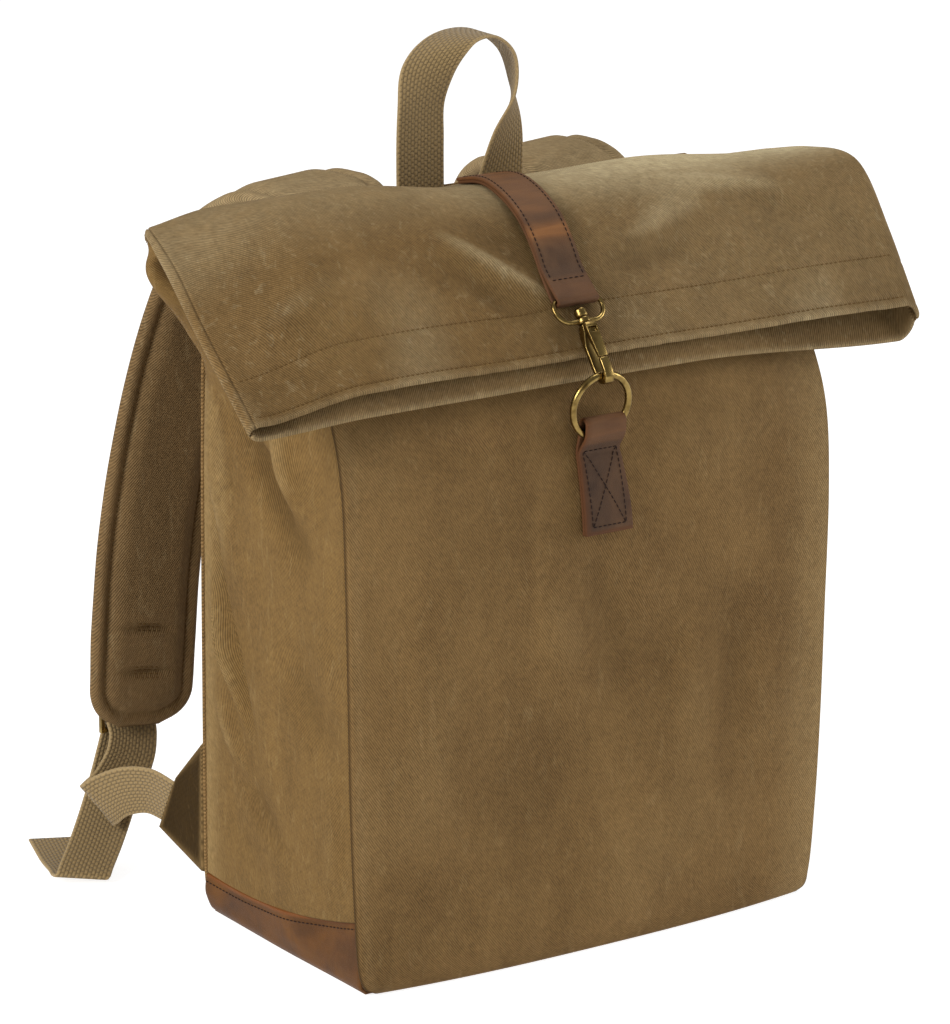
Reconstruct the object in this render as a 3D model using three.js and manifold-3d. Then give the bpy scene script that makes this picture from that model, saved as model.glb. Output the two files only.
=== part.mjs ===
import * as THREE from 'three';
import { mergeVertices } from 'three/addons/utils/BufferGeometryUtils.js';
import Module from 'manifold-3d';

const wasm = await Module();
wasm.setup();

// Sizes are in millimetres. The bag stands on Z = 0, its front faces -Y, its left side is -X.
const CANVAS = 2;
const LEATHER = 2;
const GAP = 0.35;
const WEB_WIDTH = 30;
const WEB_THICK = 1.8;

// The front seam from under the base, up the front and back over the top to the fold.
// by and bz say how far the middle of the panel stands out from its side seams.
const FRONT = [
  { y: -75, z: 0.5, half: 133, by: 0, bz: 0 },
  { y: -80, z: 2.6, half: 142.5, by: -2.5, bz: 0 },
  { y: -81, z: 15, half: 148.5, by: -3, bz: 0 },
  { y: -79.6, z: 50, half: 150, by: -5, bz: 0 },
  { y: -78.5, z: 100, half: 151, by: -7.5, bz: 0 },
  { y: -77.5, z: 160, half: 151, by: -8.5, bz: 0 },
  { y: -76, z: 225, half: 151, by: -8.5, bz: 0 },
  { y: -72, z: 272, half: 150.5, by: -8, bz: 0 },
  { y: -61, z: 305, half: 150, by: -11, bz: 1 },
  { y: -44, z: 336, half: 150, by: -8, bz: 4 },
  { y: -22, z: 363, half: 150, by: -3, bz: 5 },
  { y: 2, z: 381, half: 149, by: -1, bz: 4 },
  { y: 24, z: 387.2, half: 148, by: 0, bz: 1 },
];

// The back seam from under the base to the seam that holds the handle and the straps.
const BACK = [
  { y: 73, z: 0.5, half: 133, by: 0 },
  { y: 77, z: 3, half: 142.5, by: 1 },
  { y: 78, z: 16, half: 148.5, by: 2 },
  { y: 76.5, z: 60, half: 150, by: 3 },
  { y: 75, z: 130, half: 150.5, by: 4 },
  { y: 74, z: 200, half: 150.5, by: 4 },
  { y: 73, z: 270, half: 150, by: 4 },
  { y: 70, z: 325, half: 150, by: 3 },
  { y: 62, z: 365, half: 149.5, by: 2 },
  { y: 50.4, z: 391.4, half: 149, by: 0 },
];

// A side wall between its front edge (fy, fz) and its back edge (ky, kz).
// flare is how far it stands out, most of all at peak, counted from the front.
const GUSSET = [
  { fy: -77.2, fz: 42, ky: 75, kz: 22, half: 149, flare: 3, peak: 0.5, power: 1 },
  { fy: -76.6, fz: 70, ky: 74, kz: 60, half: 149.5, flare: 5, peak: 0.5, power: 1 },
  { fy: -75.8, fz: 125, ky: 72.5, kz: 120, half: 150, flare: 6, peak: 0.5, power: 1 },
  { fy: -74.2, fz: 200, ky: 71.5, kz: 200, half: 150, flare: 6, peak: 0.5, power: 1 },
  { fy: -70, fz: 266, ky: 70, kz: 268, half: 150, flare: 7, peak: 0.55, power: 1 },
  { fy: -58.6, fz: 304, ky: 68, kz: 308, half: 149.5, flare: 12, peak: 0.68, power: 1 },
  { fy: -41.6, fz: 334, ky: 65, kz: 334, half: 149, flare: 27, peak: 0.74, power: 0.8 },
  { fy: -20, fz: 360, ky: 61, kz: 356, half: 149, flare: 46, peak: 0.76, power: 0.6 },
  { fy: 3, fz: 377, ky: 55.5, kz: 373, half: 148.5, flare: 59, peak: 0.7, power: 0.42 },
  { fy: 24, fz: 384, ky: 49.5, kz: 385, half: 148, flare: 63, peak: 0.5, power: 0.3 },
];

// The two layers of the folded roll top, from the fold at the back down to the mouth.
// Each row has the middle of the layer and its left and right ends.
const FLAP_OUTER = [
  { half: 205, y: 49, z: 396.5, yl: 47.5, zl: 388.5, yr: 47.5, zr: 388 },
  { half: 207, y: 32, z: 401.5, yl: 34, zl: 395, yr: 31, zr: 393.5 },
  { half: 210, y: 4, z: 402, yl: 2, zl: 382.5, yr: 2, zr: 401 },
  { half: 212, y: -30, z: 386, yl: -26.4, zl: 360.7, yr: -35, zr: 402 },
  { half: 213, y: -58, z: 352, yl: -56.4, zl: 337.7, yr: -63, zr: 370 },
  { half: 214, y: -77, z: 325.5, yl: -81.5, zl: 318.5, yr: -85, zr: 333 },
];
const FLAP_INNER = [
  { half: 205, y: 26, z: 392, yl: 30, zl: 387.3, yr: 29, zr: 388.4 },
  { half: 207, y: 16, z: 391.5, yl: 22, zl: 384.5, yr: 18, zr: 387.6 },
  { half: 210, y: -4, z: 387.5, yl: 6.8, zl: 376, yr: 2, zr: 385 },
  { half: 212, y: -29, z: 370, yl: -21.6, zl: 354.3, yr: -17, zr: 382 },
  { half: 213, y: -54, z: 344, yl: -51.6, zl: 331.3, yr: -45, zr: 350 },
  { half: 214, y: -77.5, z: 306, yl: -80, zl: 309.5, yr: -75, zr: 307 },
];

// The carrying handle: one band whose width turns from along X at the legs to along Y on top.
const HANDLE = [
  { x: -25.5, y: 50.2, z: 396.9, wx: 1, wy: 0, wz: 0 },
  { x: -25.5, y: 50.2, z: 418, wx: 1, wy: 0, wz: 0 },
  { x: -24.5, y: 50.2, z: 440, wx: 1, wy: 0, wz: 0 },
  { x: -18.5, y: 50.2, z: 459, wx: 0.85, wy: -0.5, wz: 0 },
  { x: -4, y: 50.2, z: 471.5, wx: 0.35, wy: -0.93, wz: 0 },
  { x: 13, y: 50.2, z: 472, wx: 0, wy: -1, wz: 0 },
  { x: 27, y: 50.2, z: 460.5, wx: -0.25, wy: -0.97, wz: 0 },
  { x: 33, y: 50.2, z: 440, wx: -0.5, wy: -0.87, wz: 0 },
  { x: 30.5, y: 50.2, z: 418, wx: -0.9, wy: -0.43, wz: 0 },
  { x: 25.5, y: 50.2, z: 396.9, wx: -1, wy: 0, wz: 0 },
];

// The left shoulder pad from the top seam over its hump and down behind the bag.
const PAD = [
  { x: -77.5, y: 49.5, z: 397.2, width: 66, thick: 3, wx: 1, wz: 0 },
  { x: -77, y: 62, z: 397.5, width: 67, thick: 6, wx: 1, wz: 0 },
  { x: -77, y: 80, z: 395.5, width: 68, thick: 10.5, wx: 1, wz: 0 },
  { x: -80, y: 106, z: 389, width: 68, thick: 12, wx: 1, wz: 0 },
  { x: -84, y: 134, z: 369, width: 68, thick: 12, wx: 1, wz: -0.05 },
  { x: -92, y: 157, z: 333, width: 68, thick: 12, wx: 1, wz: -0.16 },
  { x: -103.5, y: 168.5, z: 286, width: 68, thick: 12, wx: 1, wz: -0.21 },
  { x: -115.5, y: 173, z: 232, width: 68, thick: 12, wx: 1, wz: -0.21 },
  { x: -125, y: 173.5, z: 180, width: 68, thick: 12, wx: 1, wz: -0.2 },
  { x: -131.5, y: 171, z: 130, width: 67, thick: 12, wx: 1, wz: -0.18 },
  { x: -134.5, y: 169, z: 103, width: 60, thick: 11, wx: 1, wz: -0.15 },
  { x: -137, y: 168, z: 87, width: 40, thick: 7, wx: 1, wz: -0.1 },
];

// The left adjuster webbing: out from the wing, folded up to the slider, over its bar and down again.
const ADJUSTER = [
  { x: -149.6, y: 115.2, z: 51.2, wx: 0, wy: 0.49, wz: -0.87 },
  { x: -153.5, y: 130, z: 53.5, wx: 0.05, wy: 0.3, wz: -0.95 },
  { x: -160.5, y: 144, z: 50.5, wx: 0.1, wy: 0.05, wz: -0.99 },
  { x: -166, y: 156.5, z: 43, wx: 0.3, wy: -0.3, wz: -0.9 },
  { x: -167, y: 164, z: 38, wx: 0.5, wy: -0.35, wz: -0.79 },
  { x: -163, y: 168.5, z: 39, wx: 0.65, wy: -0.35, wz: -0.67 },
  { x: -155.5, y: 169, z: 48, wx: 0.85, wy: -0.3, wz: -0.42 },
  { x: -147, y: 170, z: 60.5, wx: 0.95, wy: -0.15, wz: -0.25 },
  { x: -140.5, y: 172.3, z: 70, wx: 1, wy: -0.05, wz: -0.1 },
  { x: -138, y: 174.6, z: 75.6, wx: 1, wy: 0, wz: 0 },
  { x: -138, y: 178.5, z: 80.1, wx: 1, wy: 0, wz: 0 },
  { x: -138, y: 182.4, z: 75.2, wx: 1, wy: 0, wz: 0 },
  { x: -140.5, y: 182, z: 63, wx: 0.98, wy: -0.15, wz: -0.1 },
  { x: -146.5, y: 179, z: 47, wx: 0.93, wy: -0.33, wz: -0.12 },
  { x: -156, y: 173, z: 31, wx: 0.88, wy: -0.45, wz: -0.12 },
  { x: -170.5, y: 160.5, z: 18, wx: 0.87, wy: -0.48, wz: -0.1 },
  { x: -182, y: 151, z: 9.5, wx: 0.87, wy: -0.48, wz: -0.1 },
  { x: -187, y: 147, z: 5.2, wx: 0.87, wy: -0.48, wz: -0.1 },
  { x: -187, y: 152, z: 3.7, wx: 0.87, wy: -0.48, wz: -0.08 },
  { x: -184, y: 160, z: 4, wx: 0.88, wy: -0.47, wz: -0.06 },
  { x: -179.5, y: 174, z: 6, wx: 0.9, wy: -0.43, wz: -0.03 },
  { x: -174.5, y: 193, z: 11, wx: 0.9, wy: -0.43, wz: 0 },
];
const SLIDER = { x: -138, y: 178.5, top: 94, bottom: 74, half: 18.5, thick: 3, bar: 2.6 };
const WING = [
  { y: 78.6, z: 22 },
  { y: 124, z: 34 },
  { y: 105, z: 68 },
  { y: 76.9, z: 95 },
];

// The clasp hangs in one upright plane along the direction DOWN, OUT being its front.
const CLASP_X = -4.5;
const CLASP_TOP = { y: -73.9, z: 341.3 };
const DOWN = { y: -0.623, z: -0.782 };
const OUT = { y: -0.782, z: 0.623 };
const LOOP = { half: 16.2, depth: 13.3, wire: 1.5, below: -1.4 };
const STRAP_HALF = 13;
const RING = { y: -89, z: 300.6, radius: 17.4, wire: 1.6, lean: 13.6 };
const TAB_HALF = 13.2;
// The strap leans to the right over the top, and the tab's foot is wider and stands to the right.
const STRAP_LEAN = 4;
const TAB_FOOT = { wider: 0.08, aside: 5 };

// Turns degrees into radians.
function rad(degrees) {
  return (degrees * Math.PI) / 180;
}

// One smooth value between b and c, with a and d beside them.
function ease(a, b, c, d, f) {
  const bend = (2 * a - 5 * b + 4 * c - d) * f * f;
  const twist = (3 * b - a - 3 * c + d) * f * f * f;
  return 0.5 * (2 * b + (c - a) * f + bend + twist);
}

// A table's row at t from 0 to 1, every column on a smooth curve through the rows.
function rowAt(rows, t) {
  const last = rows.length - 1;
  const place = Math.min(Math.max(t, 0), 1) * last;
  const i = Math.min(Math.floor(place), last - 1);
  const out = {};
  for (const key of Object.keys(rows[0])) {
    const before = rows[Math.max(i - 1, 0)][key];
    const after = rows[Math.min(i + 2, last)][key];
    out[key] = ease(before, rows[i][key], rows[i + 1][key], after, place - i);
  }
  return out;
}

function smooth(low, high, value) {
  const f = Math.min(Math.max((value - low) / (high - low), 0), 1);
  return f * f * (3 - 2 * f);
}

// A solid from points and triangles.
function solid(points, faces) {
  const geometry = new THREE.BufferGeometry();
  const flat = points.flatMap((p) => [p.x, p.y, p.z]);
  geometry.setAttribute('position', new THREE.Float32BufferAttribute(flat, 3));
  geometry.setIndex(faces.flat());
  return geometry;
}

function normalAt(surface, u, v) {
  const step = 0.002;
  const du = surface(Math.min(u + step, 1), v).sub(surface(Math.max(u - step, 0), v));
  const dv = surface(u, Math.min(v + step, 1)).sub(surface(u, Math.max(v - step, 0)));
  return du.cross(dv).normalize();
}

// A sheet of cloth or leather: the outer face surface(u, v), thickened on its inner side.
function sheet(surface, across, along, thick) {
  const outer = [];
  const inner = [];
  for (let j = 0; j <= along; j += 1) {
    for (let i = 0; i <= across; i += 1) {
      const point = surface(i / across, j / along);
      const normal = normalAt(surface, i / across, j / along);
      outer.push(point);
      inner.push(point.clone().addScaledVector(normal, -thick));
    }
  }
  const count = outer.length;
  const at = (i, j) => j * (across + 1) + i;
  const faces = [];
  for (let j = 0; j < along; j += 1) {
    for (let i = 0; i < across; i += 1) {
      const [a, b, c, d] = [at(i, j), at(i + 1, j), at(i + 1, j + 1), at(i, j + 1)];
      faces.push([a, b, c], [a, c, d]);
      faces.push([count + a, count + c, count + b], [count + a, count + d, count + c]);
    }
  }
  const rim = [];
  for (let i = 0; i < across; i += 1) rim.push(at(i, 0));
  for (let j = 0; j < along; j += 1) rim.push(at(across, j));
  for (let i = across; i > 0; i -= 1) rim.push(at(i, along));
  for (let j = along; j > 0; j -= 1) rim.push(at(0, j));
  rim.forEach((a, k) => {
    const b = rim[(k + 1) % rim.length];
    faces.push([b, a, count + a], [b, count + a, count + b]);
  });
  return solid([...outer, ...inner], faces);
}

// A band swept along a table of rows: section(row) gives its outline as [across, up] pairs.
// Its two faces are split along the same diagonal, so that a thin twisted band stays open.
function sweep(rows, steps, section) {
  const points = [];
  const faces = [];
  let sides = 0;
  for (let j = 0; j <= steps; j += 1) {
    const t = j / steps;
    const row = rowAt(rows, t);
    const ahead = rowAt(rows, t + 0.004);
    const behind = rowAt(rows, t - 0.004);
    const run = new THREE.Vector3(ahead.x - behind.x, ahead.y - behind.y, ahead.z - behind.z);
    run.normalize();
    const wide = new THREE.Vector3(row.wx, row.wy ?? 0, row.wz).normalize();
    const up = run.clone().cross(wide).normalize();
    const outline = section(row);
    sides = outline.length;
    for (const [a, b] of outline) {
      const centre = new THREE.Vector3(row.x, row.y, row.z);
      points.push(centre.addScaledVector(wide, a).addScaledVector(up, b));
    }
  }
  for (let j = 0; j < steps; j += 1) {
    for (let k = 0; k < sides; k += 1) {
      const a = j * sides + k;
      const b = j * sides + ((k + 1) % sides);
      const [c, d] = [a + sides, b + sides];
      if (k < sides / 2) faces.push([a, c, b], [b, c, d]);
      else faces.push([a, c, d], [a, d, b]);
    }
  }
  for (let k = 1; k < sides - 1; k += 1) {
    const end = steps * sides;
    faces.push([0, k, k + 1], [end, end + k + 1, end + k]);
  }
  return solid(points, faces);
}

function flatSection(width, thick) {
  const [a, b] = [width / 2, thick / 2];
  return [[-a, -b], [-a, b], [a, b], [a, -b]];
}

// The plump section of a pad, thin at both edges.
function padSection(row) {
  const outline = [];
  for (let k = 0; k < 12; k += 1) {
    const turn = rad(180 - k * 30);
    const [c, s] = [Math.cos(turn), Math.sin(turn)];
    const across = Math.sign(c) * Math.abs(c) ** 0.7;
    const up = Math.sign(s) * Math.abs(s) ** 0.8;
    outline.push([(across * row.width) / 2, (up * row.thick) / 2]);
  }
  return outline;
}

// An outline in the Y and Z plane, drawn out along X about the middle x.
function slab(outline, holes, x, half) {
  const shape = new THREE.Shape(outline.map(([y, z]) => new THREE.Vector2(y, z)));
  for (const hole of holes) {
    shape.holes.push(new THREE.Path(hole.map(([y, z]) => new THREE.Vector2(y, z))));
  }
  const geometry = new THREE.ExtrudeGeometry(shape, { depth: half * 2, bevelEnabled: false });
  const basis = new THREE.Matrix4().makeBasis(
    new THREE.Vector3(0, 1, 0),
    new THREE.Vector3(0, 0, 1),
    new THREE.Vector3(1, 0, 0),
  );
  return geometry.applyMatrix4(basis).translate(x - half, 0, 0);
}

// Points round part of a circle, from one angle to another in degrees.
function arc(y, z, radius, from, to, count) {
  const points = [];
  for (let k = 0; k <= count; k += 1) {
    const turn = rad(from + ((to - from) * k) / count);
    points.push([y + radius * Math.cos(turn), z + radius * Math.sin(turn)]);
  }
  return points;
}

// The same piece on the other side of the bag.
function mirrored(geometry) {
  const copy = geometry.clone().scale(-1, 1, 1);
  const count = copy.attributes.position.count;
  const corners = copy.index ? copy.index.array : [...Array(count).keys()];
  const turned = [];
  for (let k = 0; k < corners.length; k += 3) turned.push(corners[k], corners[k + 2], corners[k + 1]);
  copy.setIndex(turned);
  return copy;
}

// Moves every point of a piece sideways to where place(x, y, z) says.
function skewed(geometry, place) {
  const spots = geometry.attributes.position;
  for (let k = 0; k < spots.count; k += 1) {
    spots.setX(k, place(spots.getX(k), spots.getY(k), spots.getZ(k)));
  }
  return geometry;
}

function toManifold(geometry) {
  const bare = new THREE.BufferGeometry();
  bare.setAttribute('position', geometry.attributes.position.clone());
  if (geometry.index) bare.setIndex(geometry.index.clone());
  const merged = mergeVertices(bare, 1e-4);
  const mesh = new wasm.Mesh({
    numProp: 3,
    vertProperties: new Float32Array(merged.attributes.position.array),
    triVerts: new Uint32Array(merged.index.array),
  });
  mesh.merge();
  return new wasm.Manifold(mesh);
}

function fromManifold(body) {
  const mesh = body.getMesh();
  const geometry = new THREE.BufferGeometry();
  geometry.setAttribute('position', new THREE.Float32BufferAttribute(mesh.vertProperties, 3));
  geometry.setIndex(Array.from(mesh.triVerts));
  return geometry;
}

// A place on the clasp: down along it and out from its middle line.
function onClasp(out, down) {
  return [
    CLASP_TOP.y + OUT.y * out + DOWN.y * down,
    CLASP_TOP.z + OUT.z * out + DOWN.z * down,
  ];
}

// A round bar of the clasp along its middle line.
function claspPin(radius, from, to) {
  const geometry = new THREE.CylinderGeometry(radius, radius, to - from, 16);
  geometry.rotateX(Math.atan2(-DOWN.z, -DOWN.y));
  const [y, z] = onClasp(0, (from + to) / 2);
  return geometry.translate(CLASP_X, y, z);
}

function frontPanel() {
  const surface = (u, v) => {
    const row = rowAt(FRONT, v);
    const side = 2 * u - 1;
    const swell = 1 - Math.abs(side) ** 2.6;
    return new THREE.Vector3(side * row.half, row.y + row.by * swell, row.z + row.bz * swell);
  };
  return sheet(surface, 12, 26, CANVAS);
}

function backPanel() {
  const surface = (u, v) => {
    const row = rowAt(BACK, v);
    const side = 1 - 2 * u;
    const swell = 1 - Math.abs(side) ** 2.6;
    return new THREE.Vector3(side * row.half, row.y + row.by * swell, row.z);
  };
  return sheet(surface, 10, 18, CANVAS);
}

// How a side wall's height falls from its front edge to its back edge.
function slopeDown(back) {
  return (1 - back) ** 2.2;
}

function gusset() {
  const surface = (u, v) => {
    const row = rowAt(GUSSET, v);
    const back = 1 - u;
    const skew = Math.log(0.5) / Math.log(row.peak);
    const swell = Math.sin(Math.PI * back ** skew) ** row.power;
    const height = v < 0.12 ? slopeDown(back) : 1 - back;
    return new THREE.Vector3(
      -row.half - row.flare * Math.max(swell, 0),
      row.fy + (row.ky - row.fy) * back,
      row.kz + (row.fz - row.kz) * height,
    );
  };
  return sheet(surface, 12, 17, CANVAS);
}

// The leather base: a flat bottom whose two ends turn up the sides of the bag.
function base() {
  const surface = (u, v) => {
    const side = 2 * v - 1;
    const reach = Math.abs(side);
    const top = 21.3 + 20 * slopeDown(u);
    const rise = [
      { x: 0, z: 0 },
      { x: 66, z: 0 },
      { x: 133, z: 0 },
      { x: 144.5, z: 1.8 },
      { x: 149.2, z: 11 },
      { x: 149 + 3 * Math.sin(Math.PI * u), z: top },
    ];
    const row = rowAt(rise, reach);
    const tuck = 1 - smooth(0, 16, row.z);
    const front = -77.4 + 3.8 * tuck;
    const back = 75 - 3.6 * tuck;
    return new THREE.Vector3(side < 0 ? -row.x : row.x, front + (back - front) * u, Math.max(row.z, 0));
  };
  return sheet(surface, 8, 26, LEATHER);
}

// One layer of the roll top, its side edges rounding towards the other layer.
function flapLayer(own, other, outside) {
  const rounding = 7;
  const surface = (u, v) => {
    const side = outside ? 1 - 2 * u : 2 * u - 1;
    const reach = Math.abs(side);
    const [near, far] = [rowAt(own, v), rowAt(other, v)];
    const turn = rad(42 + 34 * smooth(0, 0.45, v)) * Math.max((reach - 0.82) / 0.18, 0);
    const straight = (near.half - rounding) * Math.min(reach / 0.82, 1);
    const x = Math.sign(side) * (straight + rounding * Math.sin(turn));
    const drop = smooth(x < 0 ? 140 : 60, near.half, Math.abs(x));
    const end = x < 0 ? 'l' : 'r';
    const place = (row) => [
      row.y + (row[`y${end}`] - row.y) * drop,
      row.z + (row[`z${end}`] - row.z) * drop,
    ];
    const [ny, nz] = place(near);
    const [fy, fz] = place(far);
    const keep = (1 + Math.cos(turn)) / 2;
    return new THREE.Vector3(x, fy + (ny - fy) * keep, fz + (nz - fz) * keep);
  };
  return sheet(surface, 22, 12, CANVAS);
}

// Points along the outer layer's middle, lifted off it by some distance.
function aboveFlap(lift, from, to, count) {
  const points = [];
  for (let k = 0; k <= count; k += 1) {
    const t = from + ((to - from) * k) / count;
    const row = rowAt(FLAP_OUTER, t);
    const ahead = rowAt(FLAP_OUTER, t + 0.01);
    const behind = rowAt(FLAP_OUTER, t - 0.01);
    const run = new THREE.Vector2(ahead.y - behind.y, ahead.z - behind.z).normalize();
    points.push([row.y + run.y * lift, row.z - run.x * lift]);
  }
  return points;
}

// The closing strap: two layers of leather with an eye at its end for the clasp's loop.
function closureStrap() {
  const [ey, ez] = onClasp(0, LOOP.below - LOOP.depth);
  const tip = (Math.atan2(DOWN.z, DOWN.y) * 180) / Math.PI;
  const top = aboveFlap(GAP + 2 * LEATHER, 0.1, 0.76, 16);
  const under = aboveFlap(GAP, 0.1, 0.79, 16).reverse();
  const eye = arc(ey, ez, 3.7, tip - 75, tip + 75, 8);
  const outline = [...top, ...eye, ...under];
  const strap = slab(outline, [arc(ey, ez, 1.95, 0, 330, 11)], CLASP_X, STRAP_HALF);
  return skewed(strap, (x, y) => x + (STRAP_LEAN * Math.max(y - ey, 0)) / (40 - ey));
}

// The clasp's wire loop with a collar that lets the hook swivel.
function claspLoop() {
  const corner = 3;
  const path = new THREE.CurvePath();
  const place = (a, down) => {
    const [y, z] = onClasp(0, LOOP.below + down);
    return new THREE.Vector3(CLASP_X + a, y, z);
  };
  const [w, d] = [LOOP.half, LOOP.depth];
  const corners = [[w, -d], [w, 0], [-w, 0], [-w, -d]];
  corners.forEach(([a, down], k) => {
    const [na, nd] = corners[(k + 1) % 4];
    const [pa, pd] = corners[(k + 3) % 4];
    const from = place(a + Math.sign(pa - a) * corner, down + Math.sign(pd - down) * corner);
    const to = place(a + Math.sign(na - a) * corner, down + Math.sign(nd - down) * corner);
    path.add(new THREE.QuadraticBezierCurve3(from, place(a, down), to));
    const next = place(na + Math.sign(a - na) * corner, nd + Math.sign(down - nd) * corner);
    path.add(new THREE.LineCurve3(to, next));
  });
  const ring = new THREE.CatmullRomCurve3(path.getPoints(4).slice(0, -1), true, 'centripetal');
  const wire = new THREE.TubeGeometry(ring, 40, LOOP.wire, 6, true);
  const collar = toManifold(claspPin(3.6, LOOP.below - 1.6, LOOP.below + 1.5));
  const bore = toManifold(claspPin(1.9, LOOP.below - 6, LOOP.below + 6));
  return fromManifold(toManifold(wire).add(collar).subtract(bore));
}

// The hook: a stud and its head inside the loop, a back bar, the bend and the nose.
function hookBody() {
  const outline = [
    [2, 0.5], [1.9, 3], [0.4, 5.6], [-1.8, 7], [-2.9, 9], [-2.9, 28], [-2.2, 31.2], [0.2, 33.4],
    [2.6, 31.6], [3.6, 28.5], [3.6, 21.7], [6.2, 21.7], [6.4, 28], [5.4, 32.4], [3, 35.2],
    [0, 36], [-3, 34.6], [-5, 31], [-5.6, 26], [-5.6, 12], [-5, 4], [-3.4, 0.5],
  ].map(([out, down]) => onClasp(out, down));
  const body = toManifold(slab(outline, [], CLASP_X, 3));
  const stud = toManifold(claspPin(1.5, -6, 2));
  const head = toManifold(claspPin(3.4, -8.6, -3.4));
  return fromManifold(body.add(stud).add(head));
}

// The hook's sprung lever, wide at its pivot and narrow where it meets the nose.
function hookGate() {
  const section = [
    { out: 2.4, far: 6.2, down: 0.6, half: 4.4 },
    { out: 2.4, far: 6.4, down: 6, half: 4.6 },
    { out: 3.2, far: 6.3, down: 14, half: 3.8 },
    { out: 3.8, far: 6, down: 21.3, half: 3.1 },
  ];
  const points = [];
  const faces = [];
  section.forEach((row) => {
    const corners = [[row.out, -1], [row.far, -1], [row.far, 1], [row.out, 1]];
    for (const [out, way] of corners) {
      const [y, z] = onClasp(out, row.down);
      points.push(new THREE.Vector3(CLASP_X + way * row.half, y, z));
    }
  });
  for (let j = 0; j < section.length - 1; j += 1) {
    for (let k = 0; k < 4; k += 1) {
      const a = j * 4 + k;
      const b = j * 4 + ((k + 1) % 4);
      faces.push([a, a + 4, b], [b, a + 4, b + 4]);
    }
  }
  const end = (section.length - 1) * 4;
  faces.push([0, 1, 2], [0, 2, 3], [end, end + 2, end + 1], [end, end + 3, end + 2]);
  return solid(points, faces);
}

function ring() {
  const geometry = new THREE.TorusGeometry(RING.radius, RING.wire, 8, 28);
  geometry.rotateX(rad(90 + RING.lean));
  return geometry.translate(CLASP_X, RING.y, RING.z);
}

// A place beside the ring: up along its plane and forward of it.
function onRing(forward, up) {
  const [s, c] = [Math.sin(rad(RING.lean)), Math.cos(rad(RING.lean))];
  return [RING.y - c * forward - s * up, RING.z - s * forward + c * up];
}

// The front of the bag along its middle line, at a share of its seam.
function frontMiddle(z) {
  let best = 0;
  for (let k = 0; k <= 400; k += 1) {
    const row = rowAt(FRONT, k / 400);
    const gap = Math.abs(row.z + row.bz - z);
    if (gap < Math.abs(rowAt(FRONT, best).z + rowAt(FRONT, best).bz - z)) best = k / 400;
  }
  const row = rowAt(FRONT, best);
  return row.y + row.by;
}

// The leather tab: a doubled plate on the front with a loop that holds the ring.
function ringTab() {
  const [low, high] = [230, 272];
  const back = [];
  const front = [];
  for (let k = 0; k <= 4; k += 1) {
    const z = low + ((high - low) * k) / 4;
    back.push([frontMiddle(z) - GAP, z]);
    front.push([frontMiddle(z) - GAP - 2 * LEATHER, z]);
  }
  const [hollow, wall] = [2, LEATHER];
  const [foot, roof] = [-19.6, -7.7];
  const outside = hollow + wall;
  const bow = [];
  for (let k = 0; k <= 6; k += 1) {
    const turn = rad(180 * (k / 6));
    bow.push(onRing(-outside * Math.cos(turn), roof - hollow + outside * Math.sin(turn)));
  }
  const hole = [];
  for (let k = 0; k <= 6; k += 1) {
    const turn = rad(180 * (k / 6));
    hole.push(onRing(-hollow * Math.cos(turn), roof - hollow + hollow * Math.sin(turn)));
  }
  hole.push(onRing(hollow, foot + 1), onRing(0.8, foot), onRing(-0.8, foot), onRing(-hollow, foot + 1));
  const rise = onRing(-outside, foot + 3);
  const fall = onRing(outside, foot + 3);
  const outline = [...back, rise, ...bow, fall, ...front.reverse()];
  const plate = slab(outline, [hole.reverse()], CLASP_X, TAB_HALF);
  return skewed(plate, (x, y, z) => {
    const down = smooth(276, 236, z);
    return CLASP_X + (x - CLASP_X) * (1 + TAB_FOOT.wider * down) + TAB_FOOT.aside * down;
  });
}

// The plain slider: a flat frame with three bars.
function slider() {
  const { x, y, top, bottom, half, thick, bar } = SLIDER;
  const middle = 85.2;
  const corner = (a, z, inset) => [
    [-a + inset, z[0]], [a - inset, z[0]], [a, z[0] + inset], [a, z[1] - inset],
    [a - inset, z[1]], [-a + inset, z[1]], [-a, z[1] - inset], [-a, z[0] + inset],
  ];
  const shape = new THREE.Shape(corner(half, [bottom, top], 2).map(([a, b]) => new THREE.Vector2(a, b)));
  const windows = [[bottom + bar, middle - 0.9], [middle + 0.9, top - bar]];
  for (const span of windows) {
    const hole = corner(half - bar, span, 0.8).map(([a, b]) => new THREE.Vector2(a, b));
    shape.holes.push(new THREE.Path(hole.reverse()));
  }
  const geometry = new THREE.ExtrudeGeometry(shape, { depth: thick, bevelEnabled: false });
  return geometry.rotateX(Math.PI / 2).translate(x, y + thick / 2, 0);
}

// The short webbing loop that holds the slider to the back of the pad.
function sliderLoop() {
  const z = SLIDER.top - SLIDER.bar / 2;
  const [inner, outer] = [2.4, 2.4 + WEB_THICK];
  const outline = [
    [177.2, 124], [177, 100], ...arc(SLIDER.y, z, outer, 158, 382, 12), [180.6, 100], [180.8, 124],
  ];
  const hole = arc(SLIDER.y, z, inner, 0, 330, 11);
  return slab(outline, [hole.reverse()], SLIDER.x, WEB_WIDTH / 2);
}

function wing() {
  return slab(WING.map((row) => [row.y, row.z]), [], -149.5, 1.5);
}

const canvas = new THREE.MeshStandardMaterial({ name: 'waxed_canvas', color: 0x735836, roughness: 0.75 });
const web = new THREE.MeshStandardMaterial({ name: 'cotton_webbing', color: 0x82704a, roughness: 0.85 });
const leather = new THREE.MeshStandardMaterial({ name: 'brown_leather', color: 0x6e4b30, roughness: 0.6 });
const brass = new THREE.MeshStandardMaterial({
  name: 'antique_brass', color: 0x967d3c, roughness: 0.4, metalness: 1,
});

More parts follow.
